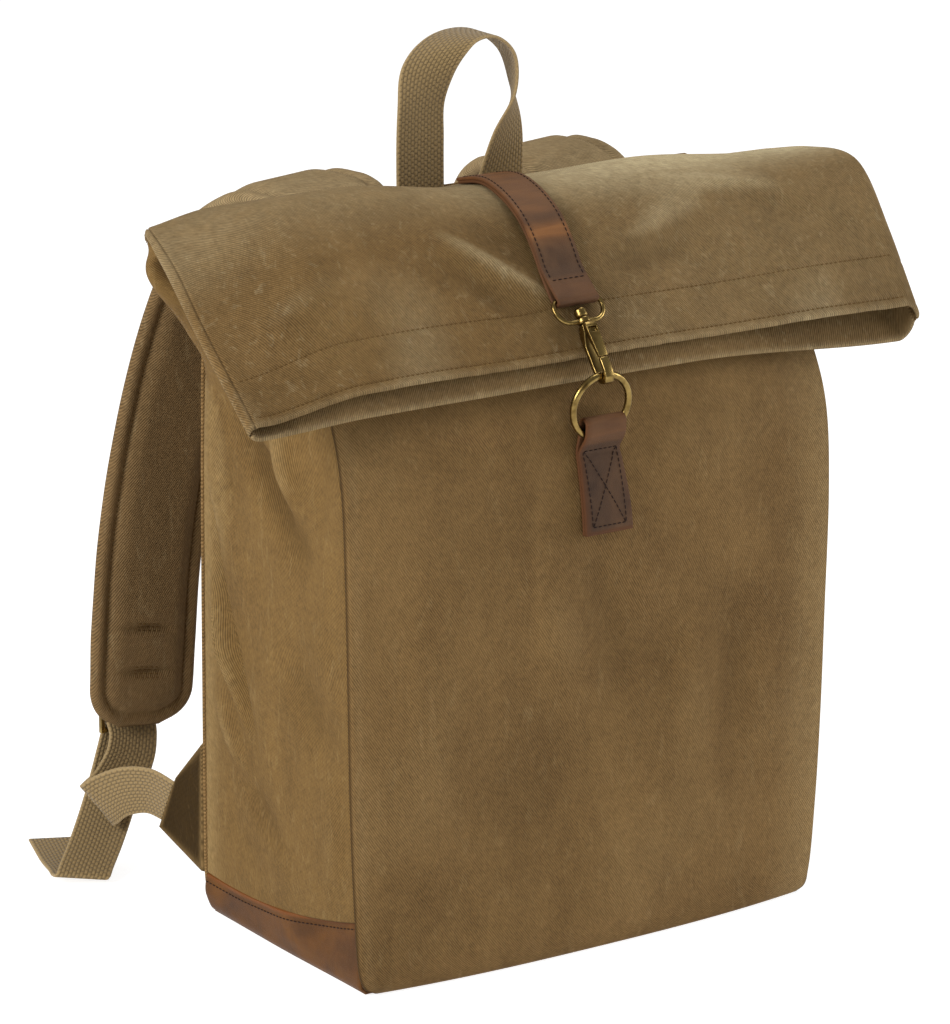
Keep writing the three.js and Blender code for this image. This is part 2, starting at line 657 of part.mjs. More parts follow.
const pad = sweep(PAD, 24, padSection);
const adjuster = sweep(ADJUSTER, 60, () => flatSection(WEB_WIDTH, WEB_THICK));
const handle = sweep(HANDLE, 27, () => flatSection(WEB_WIDTH, WEB_THICK));
const side = gusset();
const frame = slider();
const keeper = sliderLoop();
const tab = wing();

const pieces = [
  ['front_panel', frontPanel(), canvas],
  ['back_panel', backPanel(), canvas],
  ['gusset_left', side, canvas],
  ['gusset_right', mirrored(side), canvas],
  ['leather_base', base(), leather],
  ['flap_outer', flapLayer(FLAP_OUTER, FLAP_INNER, true), canvas],
  ['flap_inner', flapLayer(FLAP_INNER, FLAP_OUTER, false), canvas],
  ['closure_strap', closureStrap(), leather],
  ['clasp_loop', claspLoop(), brass],
  ['hook_body', hookBody(), brass],
  ['hook_gate', hookGate(), brass],
  ['ring', ring(), brass],
  ['ring_tab', ringTab(), leather],
  ['carry_handle', handle, web],
  ['shoulder_pad_left', pad, canvas],
  ['shoulder_pad_right', mirrored(pad), canvas],
  ['adjuster_web_left', adjuster, web],
  ['adjuster_web_right', mirrored(adjuster), web],
  ['slider_left', frame, brass],
  ['slider_right', mirrored(frame), brass],
  ['slider_loop_left', keeper, web],
  ['slider_loop_right', mirrored(keeper), web],
  ['strap_wing_left', tab, canvas],
  ['strap_wing_right', mirrored(tab), canvas],
];

const bag = new THREE.Group();
bag.name = 'roll_top_backpack';
for (const [name, geometry, material] of pieces) {
  const mesh = new THREE.Mesh(geometry, material);
  mesh.name = name;
  bag.add(mesh);
}

export default bag;
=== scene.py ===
import math

import bmesh
import bpy
import numpy as np
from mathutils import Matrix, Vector


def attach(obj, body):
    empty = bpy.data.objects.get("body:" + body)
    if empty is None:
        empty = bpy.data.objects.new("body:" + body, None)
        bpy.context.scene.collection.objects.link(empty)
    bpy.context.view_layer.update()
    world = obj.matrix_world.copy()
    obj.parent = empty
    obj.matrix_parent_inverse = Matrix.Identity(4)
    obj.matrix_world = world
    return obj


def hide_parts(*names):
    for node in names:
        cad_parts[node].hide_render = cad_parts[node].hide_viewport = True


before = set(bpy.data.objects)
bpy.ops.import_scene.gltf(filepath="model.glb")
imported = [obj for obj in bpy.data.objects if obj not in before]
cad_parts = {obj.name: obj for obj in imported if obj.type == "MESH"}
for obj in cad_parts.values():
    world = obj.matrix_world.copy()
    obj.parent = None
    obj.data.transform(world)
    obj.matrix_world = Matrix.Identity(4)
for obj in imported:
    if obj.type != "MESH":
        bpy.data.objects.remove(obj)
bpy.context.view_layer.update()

# Tables and sizes are in millimetres. The bag stands on Z = 0, its front faces -Y, its left side is -X.
MM = 0.001
CANVAS = 2.0
LEATHER = 1.9
GAP = 0.35
SIDES = ((-1, "left"), (1, "right"))
WEB_WIDTH = 30.0
WEB_THICK = 1.8

# Columns: y, z, half width left, half width right, how far the middle stands out in y and in z.
FRONT = np.array([
    (-77, 0.4, 130, 126, -4, 0), (-81.5, 1, 141, 135.5, -7.5, -0.5), (-82.2, 11, 149.5, 143.5, -8, 0),
    (-80.6, 50, 151.5, 148.8, -8, 0), (-79, 100, 152.5, 152.6, -8.5, 0), (-77.5, 160, 152.5, 155.3, -8.5, 0),
    (-76, 225, 152.5, 157.8, -8.5, 0), (-72, 272, 152, 158, -8, 0), (-61, 305, 151, 156, -11, 1),
    (-44, 336, 150, 152, -8, 4), (-22, 363, 150, 150, -3, 5), (2, 381, 149, 149, -1, 4),
    (24, 387.2, 148, 148, 0, 1),
])
# Columns: y, z, half width, how far the middle stands out in y.
BACK = np.array([
    (73, 0.5, 133, 0), (77, 3, 142.5, 1), (78, 16, 148.5, 2), (76.5, 60, 150, 3), (75, 130, 150.5, 4),
    (74, 200, 150.5, 4), (73, 270, 150, 4), (70, 325, 150, 3), (62, 365, 149.5, 2), (50.4, 391.4, 149, 0),
])
# Columns: front edge y and z, back edge y and z, half width, flare, place of the most flare, its power.
SIDE = np.array([
    (-79.2, 42, 75, 22, 149, 3, 0.5, 1), (-78.4, 70, 74, 60, 149.5, 5, 0.5, 1),
    (-76.8, 125, 72.5, 120, 150, 6, 0.5, 1), (-75, 200, 71.5, 200, 150, 6, 0.5, 1),
    (-70.9, 266, 70, 268, 150, 7, 0.55, 1), (-59.7, 304, 68, 308, 149.5, 12, 0.68, 1),
    (-43.4, 334, 65, 334, 149, 27, 0.74, 0.8), (-22.4, 360, 61, 356, 149, 44, 0.76, 0.6),
    (1, 378, 55.5, 374, 148.5, 52, 0.7, 0.42), (24, 386.5, 49.5, 387.5, 148, 54, 0.5, 0.3),
])
# Columns: half width, middle y and z, left end y and z, right end y and z.
FLAP_OUTER = np.array([
    (199, 51.5, 390.5, 50, 387, 50, 386.5), (206, 33, 397, 34, 394, 31, 392.5),
    (210, 4, 400.5, 2, 382.5, 2, 398), (212, -30, 386, -26.4, 360.7, -35, 397.2),
    (213, -58, 352, -56.4, 337.7, -63, 365), (214, -77, 325.5, -81.5, 318.5, -85, 327),
])
FLAP_INNER = np.array([
    (200, 26, 392, 30, 386.3, 29, 387.4), (201, 16, 391.5, 22, 383.5, 18, 386.6),
    (203, -4, 387.5, 6.8, 375, 2, 384), (206, -29, 370, -21.6, 354.3, -17, 379),
    (209, -54, 346, -51.6, 331.3, -45, 346), (212, -77.5, 312.5, -80, 309.5, -76, 303.8),
])
# Columns of both webs: x, y, z, then the direction of the band's width.
HANDLE = np.array([
    (-25.5, 50.2, 391, 1, 0, 0), (-25.5, 50.2, 418, 1, 0, 0), (-24.5, 50.2, 440, 1, 0, 0),
    (-18.5, 50.2, 459, 0.85, -0.5, 0), (-4, 50.2, 471.5, 0.35, -0.93, 0), (14.5, 50.2, 472.5, 0, -1, 0),
    (30, 50.2, 461, -0.25, -0.97, 0), (34, 50.2, 440, -0.5, -0.87, 0), (30.5, 50.2, 418, -0.9, -0.43, 0),
    (25.5, 50.2, 391, -1, 0, 0),
])
ADJUSTER = np.array([
    (-149.6, 115.2, 51.2, 0, 0.49, -0.87), (-153.5, 130, 53.5, 0.05, 0.3, -0.95),
    (-160.5, 144, 50.5, 0.1, 0.05, -0.99), (-166, 156.5, 43, 0.3, -0.3, -0.9),
    (-167, 164, 38, 0.5, -0.35, -0.79), (-161, 168.5, 39, 0.65, -0.35, -0.67),
    (-150.5, 169, 48, 0.85, -0.3, -0.42), (-142.5, 170, 60.5, 0.95, -0.15, -0.25),
    (-139, 172.3, 70, 1, -0.05, -0.1), (-138, 174.6, 75.6, 1, 0, 0), (-138, 178.5, 80.1, 1, 0, 0),
    (-138, 182.4, 75.2, 1, 0, 0), (-140.5, 182, 63, 0.98, -0.15, -0.1),
    (-146.5, 179, 47, 0.93, -0.33, -0.12), (-156, 173, 31, 0.88, -0.45, -0.12),
    (-170.5, 160.5, 18, 0.87, -0.48, -0.1), (-182, 151, 9.5, 0.87, -0.48, -0.1),
    (-187, 147, 5.2, 0.87, -0.48, -0.1), (-187, 152, 3.7, 0.87, -0.48, -0.08),
    (-184.5, 160, 3.8, 0.88, -0.47, -0.06), (-181, 176, 5, 0.9, -0.43, -0.03),
    (-176, 198, 9.5, 0.9, -0.43, 0),
])
# Columns: x, y, z, width, thickness, z of the width's direction.
PAD = np.array([
    (-77.5, 49.5, 387.5, 66, 3, 0), (-77, 62, 392, 67, 6, 0), (-77, 80, 393.4, 68, 10.5, 0),
    (-80, 106, 389, 68, 12, 0), (-84, 134, 369, 68, 12, -0.05), (-92, 157, 333, 68, 12, -0.16),
    (-103.5, 168.5, 286, 68, 12, -0.21), (-115.5, 173, 232, 68, 12, -0.21), (-125, 173.5, 180, 68, 12, -0.2),
    (-131.5, 171, 130, 67, 12, -0.18), (-134.5, 169, 103, 66, 11, -0.15), (-137.5, 168, 78, 64, 10, -0.1),
])
# Corners of the wing: y and z, from the low one at its seam round to the high one.
WING = np.array([(78.6, 22), (124, 34), (105, 68), (76.9, 95)])
WING_X = -151.0
WING_THICK = 3.0
# Sections of the base from its middle to the foot of its upright ends: x and z.
BASE = ((0, 0), (66, 0), (137, 0), (147.6, 1.4), (150.6, 10))
# How far the base's corners stay back from the front, and how much narrower its front is, left and right.
BASE_BACK = (2.2, 8)
BASE_SLIM = (0.013, 0.06)
SLIDER = {"x": -138.0, "y": 178.5, "top": 94.0, "bottom": 74.0, "half": 18.5, "thick": 3.0, "bar": 2.6}
# The roll: its rise left of the strap, its share across before the ends turn, their bend left and right.
ROLL_RISE = 7.8
ROLL_FLAT = 0.82
ROLL_BEND = (6.5, 10.0)
# The seam of the roll's left end, as a share across, the columns that carry stitches, and the ends' cloth.
ROLL_SEAM = 0.868
ROLL_SEWN = slice(22, -22)
ROLL_END_THICK = 0.8
# How far the stitch rows lie from the roll's hem, and the pad's seam, nose and bar tacks from its edges.
HEM_ROWS = (4.0, 28.0)
PAD_SEAM = 8.0
PAD_NOSE = 34.0
PAD_TACKS = (32.0, 57.0)
# How far above its bend the strap is sewn across.
STRAP_SEWN = 16.0
# Folds in the cloth. Columns: start, end, half width, height.
FRONT_FOLDS = (
    ((-4, -86, 225), (10, -86, 150), 15, -4.2),
    ((-30, -86, 205), (-16, -86, 150), 17, 3.6),
    ((92, -86, 190), (86, -86, 95), 14, -3.6),
    ((62, -86, 180), (58, -86, 110), 15, 3.4),
    ((24, -86, 296), (110, -86, 288), 12, -3.0),
    ((-130, -84, 292), (-60, -86, 286), 11, -2.4),
    ((-90, -86, 150), (-60, -86, 90), 22, -2.0),
    ((-120, -84, 235), (-70, -86, 190), 18, 1.8),
)
SIDE_FOLDS = (
    ((-152, 28, 296), (-152, -30, 236), 11, -12),
    ((-152, -12, 304), (-152, -26, 246), 8, 8),
    ((-152, 52, 305), (-152, 42, 215), 11, 7),
    ((-152, 64, 250), (-152, 50, 165), 7, -6),
    ((-152, 66, 196), (-152, 22, 122), 6, 9),
    ((-152, 50, 186), (-152, 10, 112), 6, -7),
    ((-152, 62, 138), (-152, 24, 92), 8, 5),
    ((-152, 40, 96), (-152, -20, 62), 9, -4),
    ((-152, -30, 210), (-152, -44, 120), 14, -3),
    ((-152, 10, 150), (-152, -6, 70), 16, 2.5),
)
# The hollow where the side runs up into the roll's open end.
SIDE_MOUTH = ((-200, 36, 378), (-188, 2, 344), 8, -11)
FLAP_FOLDS = (
    ((-66, -28, 386), (-14, -58, 353), 5.5, 4.2),
    ((-78, -38, 376), (-30, -62, 348), 9, -3.4),
    ((-50, -18, 393), (-18, -44, 370), 8, -2.6),
    ((30, -44, 369), (92, -30, 384), 9, 2.6),
    ((24, -52, 360), (80, -48, 366), 9, -2.8),
    ((96, -20, 392), (160, -42, 385), 8, 2.2),
    ((110, -34, 386), (170, -56, 371), 10, -2.4),
    ((-150, -40, 372), (-196, -52, 356), 12, 2.2),
    ((-120, 0, 398), (-170, -30, 372), 12, -2.2),
)
# The clasp hangs in one upright plane along CLASP_DOWN, CLASP_OUT being its front.
CLASP_X = -4.5
CLASP_TOP = np.array((CLASP_X, -73.9, 341.3))
CLASP_DOWN = np.array((0, -0.623, -0.782))
CLASP_OUT = np.array((0, -0.782, 0.623))
LOOP_TOP = -14.7
STRAP_WIDTH = 26.0
STRAP_LEAN = 5.0
RING_CENTRE = np.array((CLASP_X, -89, 300.6))
RING_LEAN = math.radians(9.0)
RING_RADIUS = 17.4
RING_WIRE = 2.0
LOOP_BOTTOM = -1.4
LOOP_HALF = 15.0
LOOP_WIRE = 1.3
LOOP_HEAD_BEND = 4.6
LOOP_FOOT_BEND = 8.0
# Columns of the turned pieces: radius and place along the clasp.
SWIVEL = ((0, -8.6), (2.6, -8.6), (3.4, -7.6), (3.4, -4.2), (2.6, -3.5), (1.5, -3.4), (1.5, 1.5), (0, 1.5))
COLLAR = ((1.7, -3.1), (3.2, -3.1), (3.7, -2.4), (3.7, -0.4), (3.2, 0.2), (1.7, 0.2), (1.7, -3.1))
# The hook's outline: out from its middle line and down along it.
JAW_HALF = 2.7
JAW = (
    (1.5, 0.5), (1.4, 3.0), (0.4, 5.5), (-1.4, 8.5), (-2.9, 12), (-3.2, 26), (-2.6, 29.4), (-1.0, 31.4),
    (0.6, 32), (2.1, 31), (2.7, 28.8), (3.1, 21.7), (5.4, 21.7), (5.0, 29), (4.1, 32.8), (2.0, 35),
    (-0.8, 35), (-3.6, 33.4), (-5.3, 30.4), (-5.8, 26.5), (-5.6, 6), (-4.2, 2.2), (-3.4, 0.5),
)
# The lever's rows: down along the clasp, back and front of it, half width.
LEVER = (
    (0.9, 2.3, 4.8, 3.3), (3, 2.2, 5.5, 3.6), (8, 2.3, 5.5, 3.5), (14, 2.7, 5.5, 3.2), (21.2, 3.4, 5.3, 2.7),
)
# The lever's thumb slot: the face that lies further out than the first and between the other two along it.
LEVER_SLOT = (4.9, 3.0, 8.0)
SLOT_RIM = 0.9
SLOT_DEEP = 2.5
# Where the slider's middle bar lies.
SLIDER_MIDDLE = (84.3, 86.1)
# The tab: its heights on the front, its width at the ring, how much wider and how far right its foot is.
TAB_RISE = (230.5, 275)
TAB_WIDTH = 26.4
TAB_WIDER = 0.18
TAB_ASIDE = 6.0
# How far the stitch rows of strap and tab, and the ends of the tab's cross, lie from the middle.
STRAP_ROW = 10.4
TAB_ROW = 10.6
TAB_CROSS = 10.3
# The shares of the outer flap between which the strap lies on it.
STRAP_SPAN = (0.19, 0.73)
# Looks: the slant of the twill, the colour of the painted shade in seams, creases and hollows, and the
# colours of brass, from 0 to 255.
TWILL_SLANT = 0.56
PAINTED_SHADE_TONE = (52, 36, 18)
BRASS_TONES = ((150, 126, 74), (96, 76, 40))
# The camera fitted to the photo: degrees, metres, millimetres of lens and sensor, then pixels.
CAMERA = {"turn": -34.11, "tilt": 16.64, "distance": 2.69884, "height": 0.2, "lens": 175.8, "sensor": 36}
PHOTO_FOCUS = 5000
PHOTO_AIM = (475 - 511.76, 512 - 548.8)
# The lamps: name, place and size in metres, power in watts.
LAMPS = (
    ("key_light", (-2.2, -0.3, 1.4), 1.0, 50),
    ("top_light", (0.7, 0.4, 2.4), 1.2, 22),
    ("right_light", (2.5, -1.2, 1.0), 1.2, 32),
)


def smooth(low, high, value):
    share = np.clip((value - low) / (high - low), 0, 1)
    return share * share * (3 - 2 * share)


def unit(vectors):
    return vectors / np.maximum(np.linalg.norm(vectors, axis=-1, keepdims=True), 1e-9)


def between(a, b, c, d, f):
    """The point at share f from b to c, on a smooth curve that comes from a and goes on to d."""
    bend = (2 * a - 5 * b + 4 * c - d) * f ** 2
    twist = (3 * b - a - 3 * c + d) * f ** 3
    return 0.5 * (2 * b + (c - a) * f + bend + twist)


def row_at(table, t):
    """Rows of a table at t from 0 to 1, on a smooth curve through its rows."""
    last = len(table) - 1
    place = np.clip(np.asarray(t, float), 0, 1) * last
    i = np.minimum(place.astype(int), last - 1)
    near = [table[np.clip(i + k, 0, last)] for k in (-1, 0, 1, 2)]
    return between(*near, (place - i)[..., None])


def waves(points, size, seed):
    """A soft random field, about -1 to 1, whose bumps are about size wide."""
    rng = np.random.RandomState(seed)
    total = np.zeros(points.shape[:-1])
    for _ in range(10):
        way = unit(rng.normal(size=3)) * 2 * math.pi / (size * rng.uniform(0.7, 1.5))
        total += np.sin(points @ way + rng.uniform(0, 6.28))
    return total / 3.2


def fold(points, start, end, width, height):
    """A ridge, or a valley when height is negative, along the line from start to end."""
    start, end = np.array(start, float), np.array(end, float)
    line = end - start
    along = np.clip(((points - start) @ line) / (line @ line), 0, 1)
    away = np.linalg.norm(points - start - along[..., None] * line, axis=-1)
    return height * bell(away, 0, width) * (0.35 + 0.65 * np.sin(math.pi * along))


def folds(points, table):
    return sum(fold(points, *row) for row in table)


def crosswise(path):
    """The width's direction of a band that lies straight across the bag."""
    return np.tile((1.0, 0, 0), (len(path), 1))


def grid(across, along):
    return np.meshgrid(np.linspace(0, 1, across + 1), np.linspace(0, 1, along + 1))


def grid_normals(points):
    return unit(np.cross(np.gradient(points, axis=1), np.gradient(points, axis=0)))


def pushed(points, amount):
    return points + grid_normals(points) * amount[..., None]


def lengths(points, axis=0):
    """How far each point of a path, row or column lies from its first one, along it."""
    steps = np.linalg.norm(np.diff(points, axis=axis), axis=-1)
    start = np.zeros_like(np.take(steps, [0], axis=axis))
    return np.concatenate([start, np.cumsum(steps, axis=axis)], axis=axis)


def bell(value, middle, width):
    """A bell curve: 1 at the middle and next to nothing two widths away."""
    return np.exp(-((value - middle) / width) ** 2)


def other_side(points, *marks):
    """A grid and its marks, mirrored for the right side of the bag."""
    return (points[:, ::-1] * np.array((-1, 1, 1)), *(values[:, ::-1] for values in marks))


def tube_faces(steps, sides):
    """The point numbers of a tube, ring by ring, and its faces."""
    index = np.arange(steps * sides).reshape(steps, sides)
    after = np.roll(index, -1, axis=1)
    return index, np.stack([index[:-1], index[1:], after[1:], after[:-1]], -1).reshape(-1, 4)


def make_piece(name, points, faces, flat, marks):
    """A mesh object from points in millimetres, with a UV map in metres and named point marks."""
    mesh = bpy.data.meshes.new(name)
    mesh.from_pydata((points * MM).tolist(), [], faces)
    layer = mesh.uv_layers.new(name="UVMap")
    corners = np.empty(len(mesh.loops), dtype=np.int32)
    mesh.loops.foreach_get("vertex_index", corners)
    layer.data.foreach_set("uv", (flat * MM)[corners].ravel())
    for key, values in marks.items():
        mesh.attributes.new(key, "FLOAT", "POINT").data.foreach_set("value", values)
    work = bmesh.new()
    work.from_mesh(mesh)
    bmesh.ops.recalc_face_normals(work, faces=work.faces)
    work.to_mesh(mesh)
    work.free()
    mesh.shade_smooth()
    piece = bpy.data.objects.new(name, mesh)
    bpy.context.scene.collection.objects.link(piece)
    return piece


def make_sheet(name, points, thick, marks):
    """A closed sheet whose outer face is the grid points, thickened inward, with a rounded rim."""
    rows, columns = points.shape[:2]
    count = rows * columns
    thick = np.broadcast_to(thick, (rows, columns))[..., None]
    inner = points - grid_normals(points) * thick
    index = np.arange(count).reshape(rows, columns)
    quads = np.stack([index[:-1, :-1], index[:-1, 1:], index[1:, 1:], index[1:, :-1]], -1).reshape(-1, 4)
    inside = index.copy()
    inside[0], inside[-1] = index[1], index[-2]
    inside[:, 0], inside[:, -1] = index[:, 1], index[:, -2]
    rim = np.concatenate([index[0, :-1], index[:-1, -1], index[-1, :0:-1], index[:0:-1, 0]])
    outer_flat, inner_flat, depth = points.reshape(-1, 3), inner.reshape(-1, 3), thick.reshape(-1, 1)
    outward = unit(outer_flat[rim] - outer_flat[inside.ravel()[rim]])
    middle = (outer_flat[rim] + inner_flat[rim]) / 2 + outward * depth[rim] * 0.45
    turn = np.arange(len(rim))
    after = np.roll(turn, -1)
    upper = np.stack([rim[after], rim[turn], 2 * count + turn, 2 * count + after], -1)
    lower = np.stack([2 * count + after, 2 * count + turn, count + rim[turn], count + rim[after]], -1)
    faces = np.concatenate([quads, quads[:, ::-1] + count, upper, lower]).tolist()
    run = lengths(points).mean(axis=1, keepdims=True)
    flat = np.stack(np.broadcast_arrays(lengths(points, 1), run), -1).reshape(-1, 2)
    spread = {}
    for key, values in marks.items():
        spread[key] = np.concatenate([values.ravel(), values.ravel(), values.ravel()[rim]])
    everything = np.concatenate([outer_flat, inner_flat, middle])
    return make_piece(name, everything, faces, np.concatenate([flat, flat, flat[rim]]), spread)


def band_section(width, thick):
    """The outline of a flat band with round edges, as (across, up) pairs."""
    a, b = width / 2, thick / 2
    across = np.linspace(-a + b, a - b, 9)
    bend = np.radians((60, 30, 0, -30, -60))
    top = [(x, b) for x in across]
    right = [(a - b + b * math.cos(t), b * math.sin(t)) for t in bend]
    bottom = [(x, -b) for x in across[::-1]]
    left = [(-a + b - b * math.cos(t), -b * math.sin(t)) for t in bend]
    return np.array(top + right + bottom + left)


def make_band(name, path, wide, sections, marks):
    """A band along path: wide is its width's direction and sections its outline at every step."""
    steps = len(path)
    run = unit(np.gradient(path, axis=0))
    up = unit(np.cross(run, wide))
    sections = np.broadcast_to(sections, (steps,) + sections.shape[-2:])
    sides = sections.shape[1]
    points = path[:, None] + wide[:, None] * sections[..., :1] + up[:, None] * sections[..., 1:]
    index, quads = tube_faces(steps, sides)
    faces = quads.tolist() + [index[0].tolist(), index[-1][::-1].tolist()]
    flat = np.stack(np.broadcast_arrays(sections[..., 0], lengths(path)[:, None]), -1).reshape(-1, 2)
    spread = {key: np.broadcast_to(values, (steps, sides)).ravel() for key, values in marks.items()}
    return make_piece(name, points.reshape(-1, 3), faces, flat, spread)


def resampled(path, step):
    """The same path with its points step apart, on a smooth curve through the old ones."""
    fine = row_at(np.asarray(path, float), np.linspace(0, 1, 24 * len(path)))
    reach = lengths(fine[:, :3])
    count = max(int(reach[-1] / step), 2)
    places = np.linspace(0, reach[-1], count + 1)
    return np.stack([np.interp(places, reach, column) for column in fine.T], -1)


def mirrored(table, *columns):
    """The same table for the other side of the bag, its named columns turned about."""
    copy = table.copy()
    for column in columns:
        copy[:, column] *= -1
    return copy


def dress(piece, body, slot, material, *nodes):
    """Says which body a piece rides on, which CAD nodes it stands for and what it is made of."""
    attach(piece, body)
    if nodes:
        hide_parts(*nodes)
    piece.data.materials.clear()
    piece.data.materials.append(material)


# Shader helpers.
def feed(tree, inputs, values):
    """Gives inputs their values: another node's output is linked, anything else is set."""
    for key, value in values.items():
        if isinstance(value, bpy.types.NodeSocket):
            tree.links.new(value, inputs[key])
        else:
            inputs[key].default_value = value


def put(tree, kind, values=None, **settings):
    node = tree.nodes.new(kind)
    for key, value in settings.items():
        setattr(node, key, value)
    feed(tree, node.inputs, values or {})
    return node


def calc(tree, operation, *values):
    return put(tree, "ShaderNodeMath", dict(enumerate(values)), operation=operation).outputs[0]


def blend(tree, factor, first, second):
    values = {0: factor, 6: first, 7: second}
    return put(tree, "ShaderNodeMix", values, data_type="RGBA").outputs[2]


def remap(tree, value, low, high):
    values = {"Value": value, "From Min": low, "From Max": high}
    return put(tree, "ShaderNodeMapRange", values).outputs["Result"]


def noise(tree, vector, scale, detail, distortion=0.0):
    values = {"Vector": vector, "Scale": scale, "Detail": detail, "Distortion": distortion}
    return put(tree, "ShaderNodeTexNoise", values).outputs["Fac"]


def stretched(tree, vector, scale, turn=0.0):
    values = {"Vector": vector, "Scale": scale, "Rotation": (0, 0, turn)}
    return put(tree, "ShaderNodeMapping", values).outputs[0]


def new_group(name, inputs, outputs):
    """An empty node group. An input with no start value is a vector, any other is a number."""
    tree = bpy.data.node_groups.new(name, "ShaderNodeTree")
    for label, start in inputs.items():
        kind = "NodeSocketVector" if start is None else "NodeSocketFloat"
        socket = tree.interface.new_socket(label, in_out="INPUT", socket_type=kind)
        if start is not None:
            socket.default_value = start
    for label in outputs:
        tree.interface.new_socket(label, in_out="OUTPUT", socket_type="NodeSocketFloat")
    return tree, tree.nodes.new("NodeGroupInput").outputs, tree.nodes.new("NodeGroupOutput").inputs


def use_group(tree, group, **values):
    return put(tree, "ShaderNodeGroup", values, node_tree=group).outputs


def colour(red, green, blue):
    """A colour from its 0 to 255 values as seen on a screen."""
    parts = []
    for part in (red, green, blue):
        share = part / 255
        parts.append(share / 12.92 if share <= 0.04045 else ((share + 0.055) / 1.055) ** 2.4)
    return (*parts, 1)


def twill_group():
    inputs = {"Flat": None, "Pitch": 1.15, "Slant": 0.55}
    tree, given, result = new_group("twill_weave", inputs, ("Height", "Thread"))
    x, y, _ = put(tree, "ShaderNodeSeparateXYZ", {0: given["Flat"]}).outputs
    cosine = calc(tree, "COSINE", given["Slant"])
    sine = calc(tree, "SINE", given["Slant"])
    across = calc(tree, "ADD", calc(tree, "MULTIPLY", x, cosine), calc(tree, "MULTIPLY", y, sine))
    along = calc(tree, "SUBTRACT", calc(tree, "MULTIPLY", y, cosine), calc(tree, "MULTIPLY", x, sine))
    wander = calc(tree, "MULTIPLY", noise(tree, given["Flat"], 55, 1), 4.0)
    turns = calc(tree, "DIVIDE", calc(tree, "MULTIPLY", across, 1000), given["Pitch"])
    phase = calc(tree, "ADD", calc(tree, "MULTIPLY", turns, 2 * math.pi), wander)
    rib = calc(tree, "MULTIPLY_ADD", calc(tree, "SINE", phase), 0.5, 0.5)
    cell = {0: calc(tree, "MULTIPLY", across, 900), 1: calc(tree, "MULTIPLY", along, 300)}
    yarn = noise(tree, put(tree, "ShaderNodeCombineXYZ", cell).outputs[0], 1.0, 2)
    height = calc(tree, "MULTIPLY", rib, calc(tree, "ADD", yarn, 0.5))
    thread = calc(tree, "MULTIPLY_ADD", rib, 0.4, calc(tree, "MULTIPLY", yarn, 0.6))
    feed(tree, result, {"Height": height, "Thread": thread})
    return tree


def wax_and_light_group():
    tree, given, result = new_group("wax_marks_and_painted_light", {"Place": None, "Rub": 0.0}, ("Tone", "Scuff", "Bloom_and_painted_light"))
    place = given["Place"]
    cloud = remap(tree, noise(tree, place, 11, 5, 0.5), 0.32, 0.7)
    drift = remap(tree, noise(tree, stretched(tree, place, (34, 34, 9)), 1, 4, 0.8), 0.35, 0.72)
    fleck = remap(tree, noise(tree, place, 130, 4, 0.4), 0.3, 0.7)
    small = calc(tree, "MULTIPLY_ADD", drift, 0.34, calc(tree, "MULTIPLY", fleck, 0.26))
    tone = calc(tree, "MULTIPLY_ADD", cloud, 0.4, small)
    streaks = noise(tree, stretched(tree, place, (210, 210, 60), 0.6), 1, 3, 1.2)
    patchy = remap(tree, noise(tree, place, 160, 4), 0.25, 0.75)
    # Bloom: the pale mark made patchy. It carries wax bloom and wear, and also painted highlight and painted
    # light.
    bloom_and_painted_light = calc(tree, "MULTIPLY", given["Rub"], calc(tree, "MULTIPLY_ADD", patchy, 0.4, 0.6))
    feed(tree, result, {"Tone": tone, "Scuff": remap(tree, streaks, 0.57, 0.76), "Bloom_and_painted_light": bloom_and_painted_light})
    return tree


def web_group():
    tree, given, result = new_group("basket_weave_and_edge_highlight", {"Flat": None}, ("Height", "Edge_highlight", "Yarn"))
    x, y, _ = put(tree, "ShaderNodeSeparateXYZ", {0: given["Flat"]}).outputs
    column = calc(tree, "MULTIPLY", x, 1000 / 2.1)
    step = calc(tree, "MULTIPLY", calc(tree, "FLOOR", column), 0.5)
    row = calc(tree, "ADD", calc(tree, "MULTIPLY", y, 1000 / 3.0), step)
    wide = calc(tree, "SINE", calc(tree, "MULTIPLY", calc(tree, "FRACT", column), math.pi))
    long = calc(tree, "SINE", calc(tree, "MULTIPLY", calc(tree, "FRACT", row), math.pi))
    height = calc(tree, "MULTIPLY", calc(tree, "POWER", wide, 0.6), calc(tree, "POWER", long, 0.6))
    # The band's edges, where the painted edge highlight goes.
    edge = calc(tree, "ABSOLUTE", calc(tree, "MULTIPLY", x, 1000))
    yarn = noise(tree, given["Flat"], 900, 2)
    feed(tree, result, {"Height": height, "Edge_highlight": remap(tree, edge, 13.4, 14.6), "Yarn": yarn})
    return tree


def leather_group():
    tree, given, result = new_group("leather_grain", {"Place": None}, ("Height", "Tone", "Pull"))
    place = given["Place"]
    pores = {"Vector": place, "Scale": 1100}
    cells = put(tree, "ShaderNodeTexVoronoi", pores, feature="DISTANCE_TO_EDGE").outputs[0]
    grain = calc(tree, "MULTIPLY", remap(tree, cells, 0.0, 0.25), 0.5)
    height = calc(tree, "MULTIPLY_ADD", noise(tree, place, 1900, 3), 0.5, grain)
    tone = remap(tree, noise(tree, place, 38, 5, 0.7), 0.3, 0.72)
    pull = noise(tree, stretched(tree, place, (22, 160, 160)), 1, 4, 0.4)
    feed(tree, result, {"Height": height, "Tone": tone, "Pull": remap(tree, pull, 0.42, 0.75)})
    return tree


def patina_group():
    tree, given, result = new_group("brass_patina", {"Place": None}, ("Tarnish", "Polish"))
    spots = remap(tree, noise(tree, given["Place"], 150, 4, 0.4), 0.36, 0.7)
    feed(tree, result, {"Tarnish": spots, "Polish": noise(tree, given["Place"], 1400, 2)})
    return tree


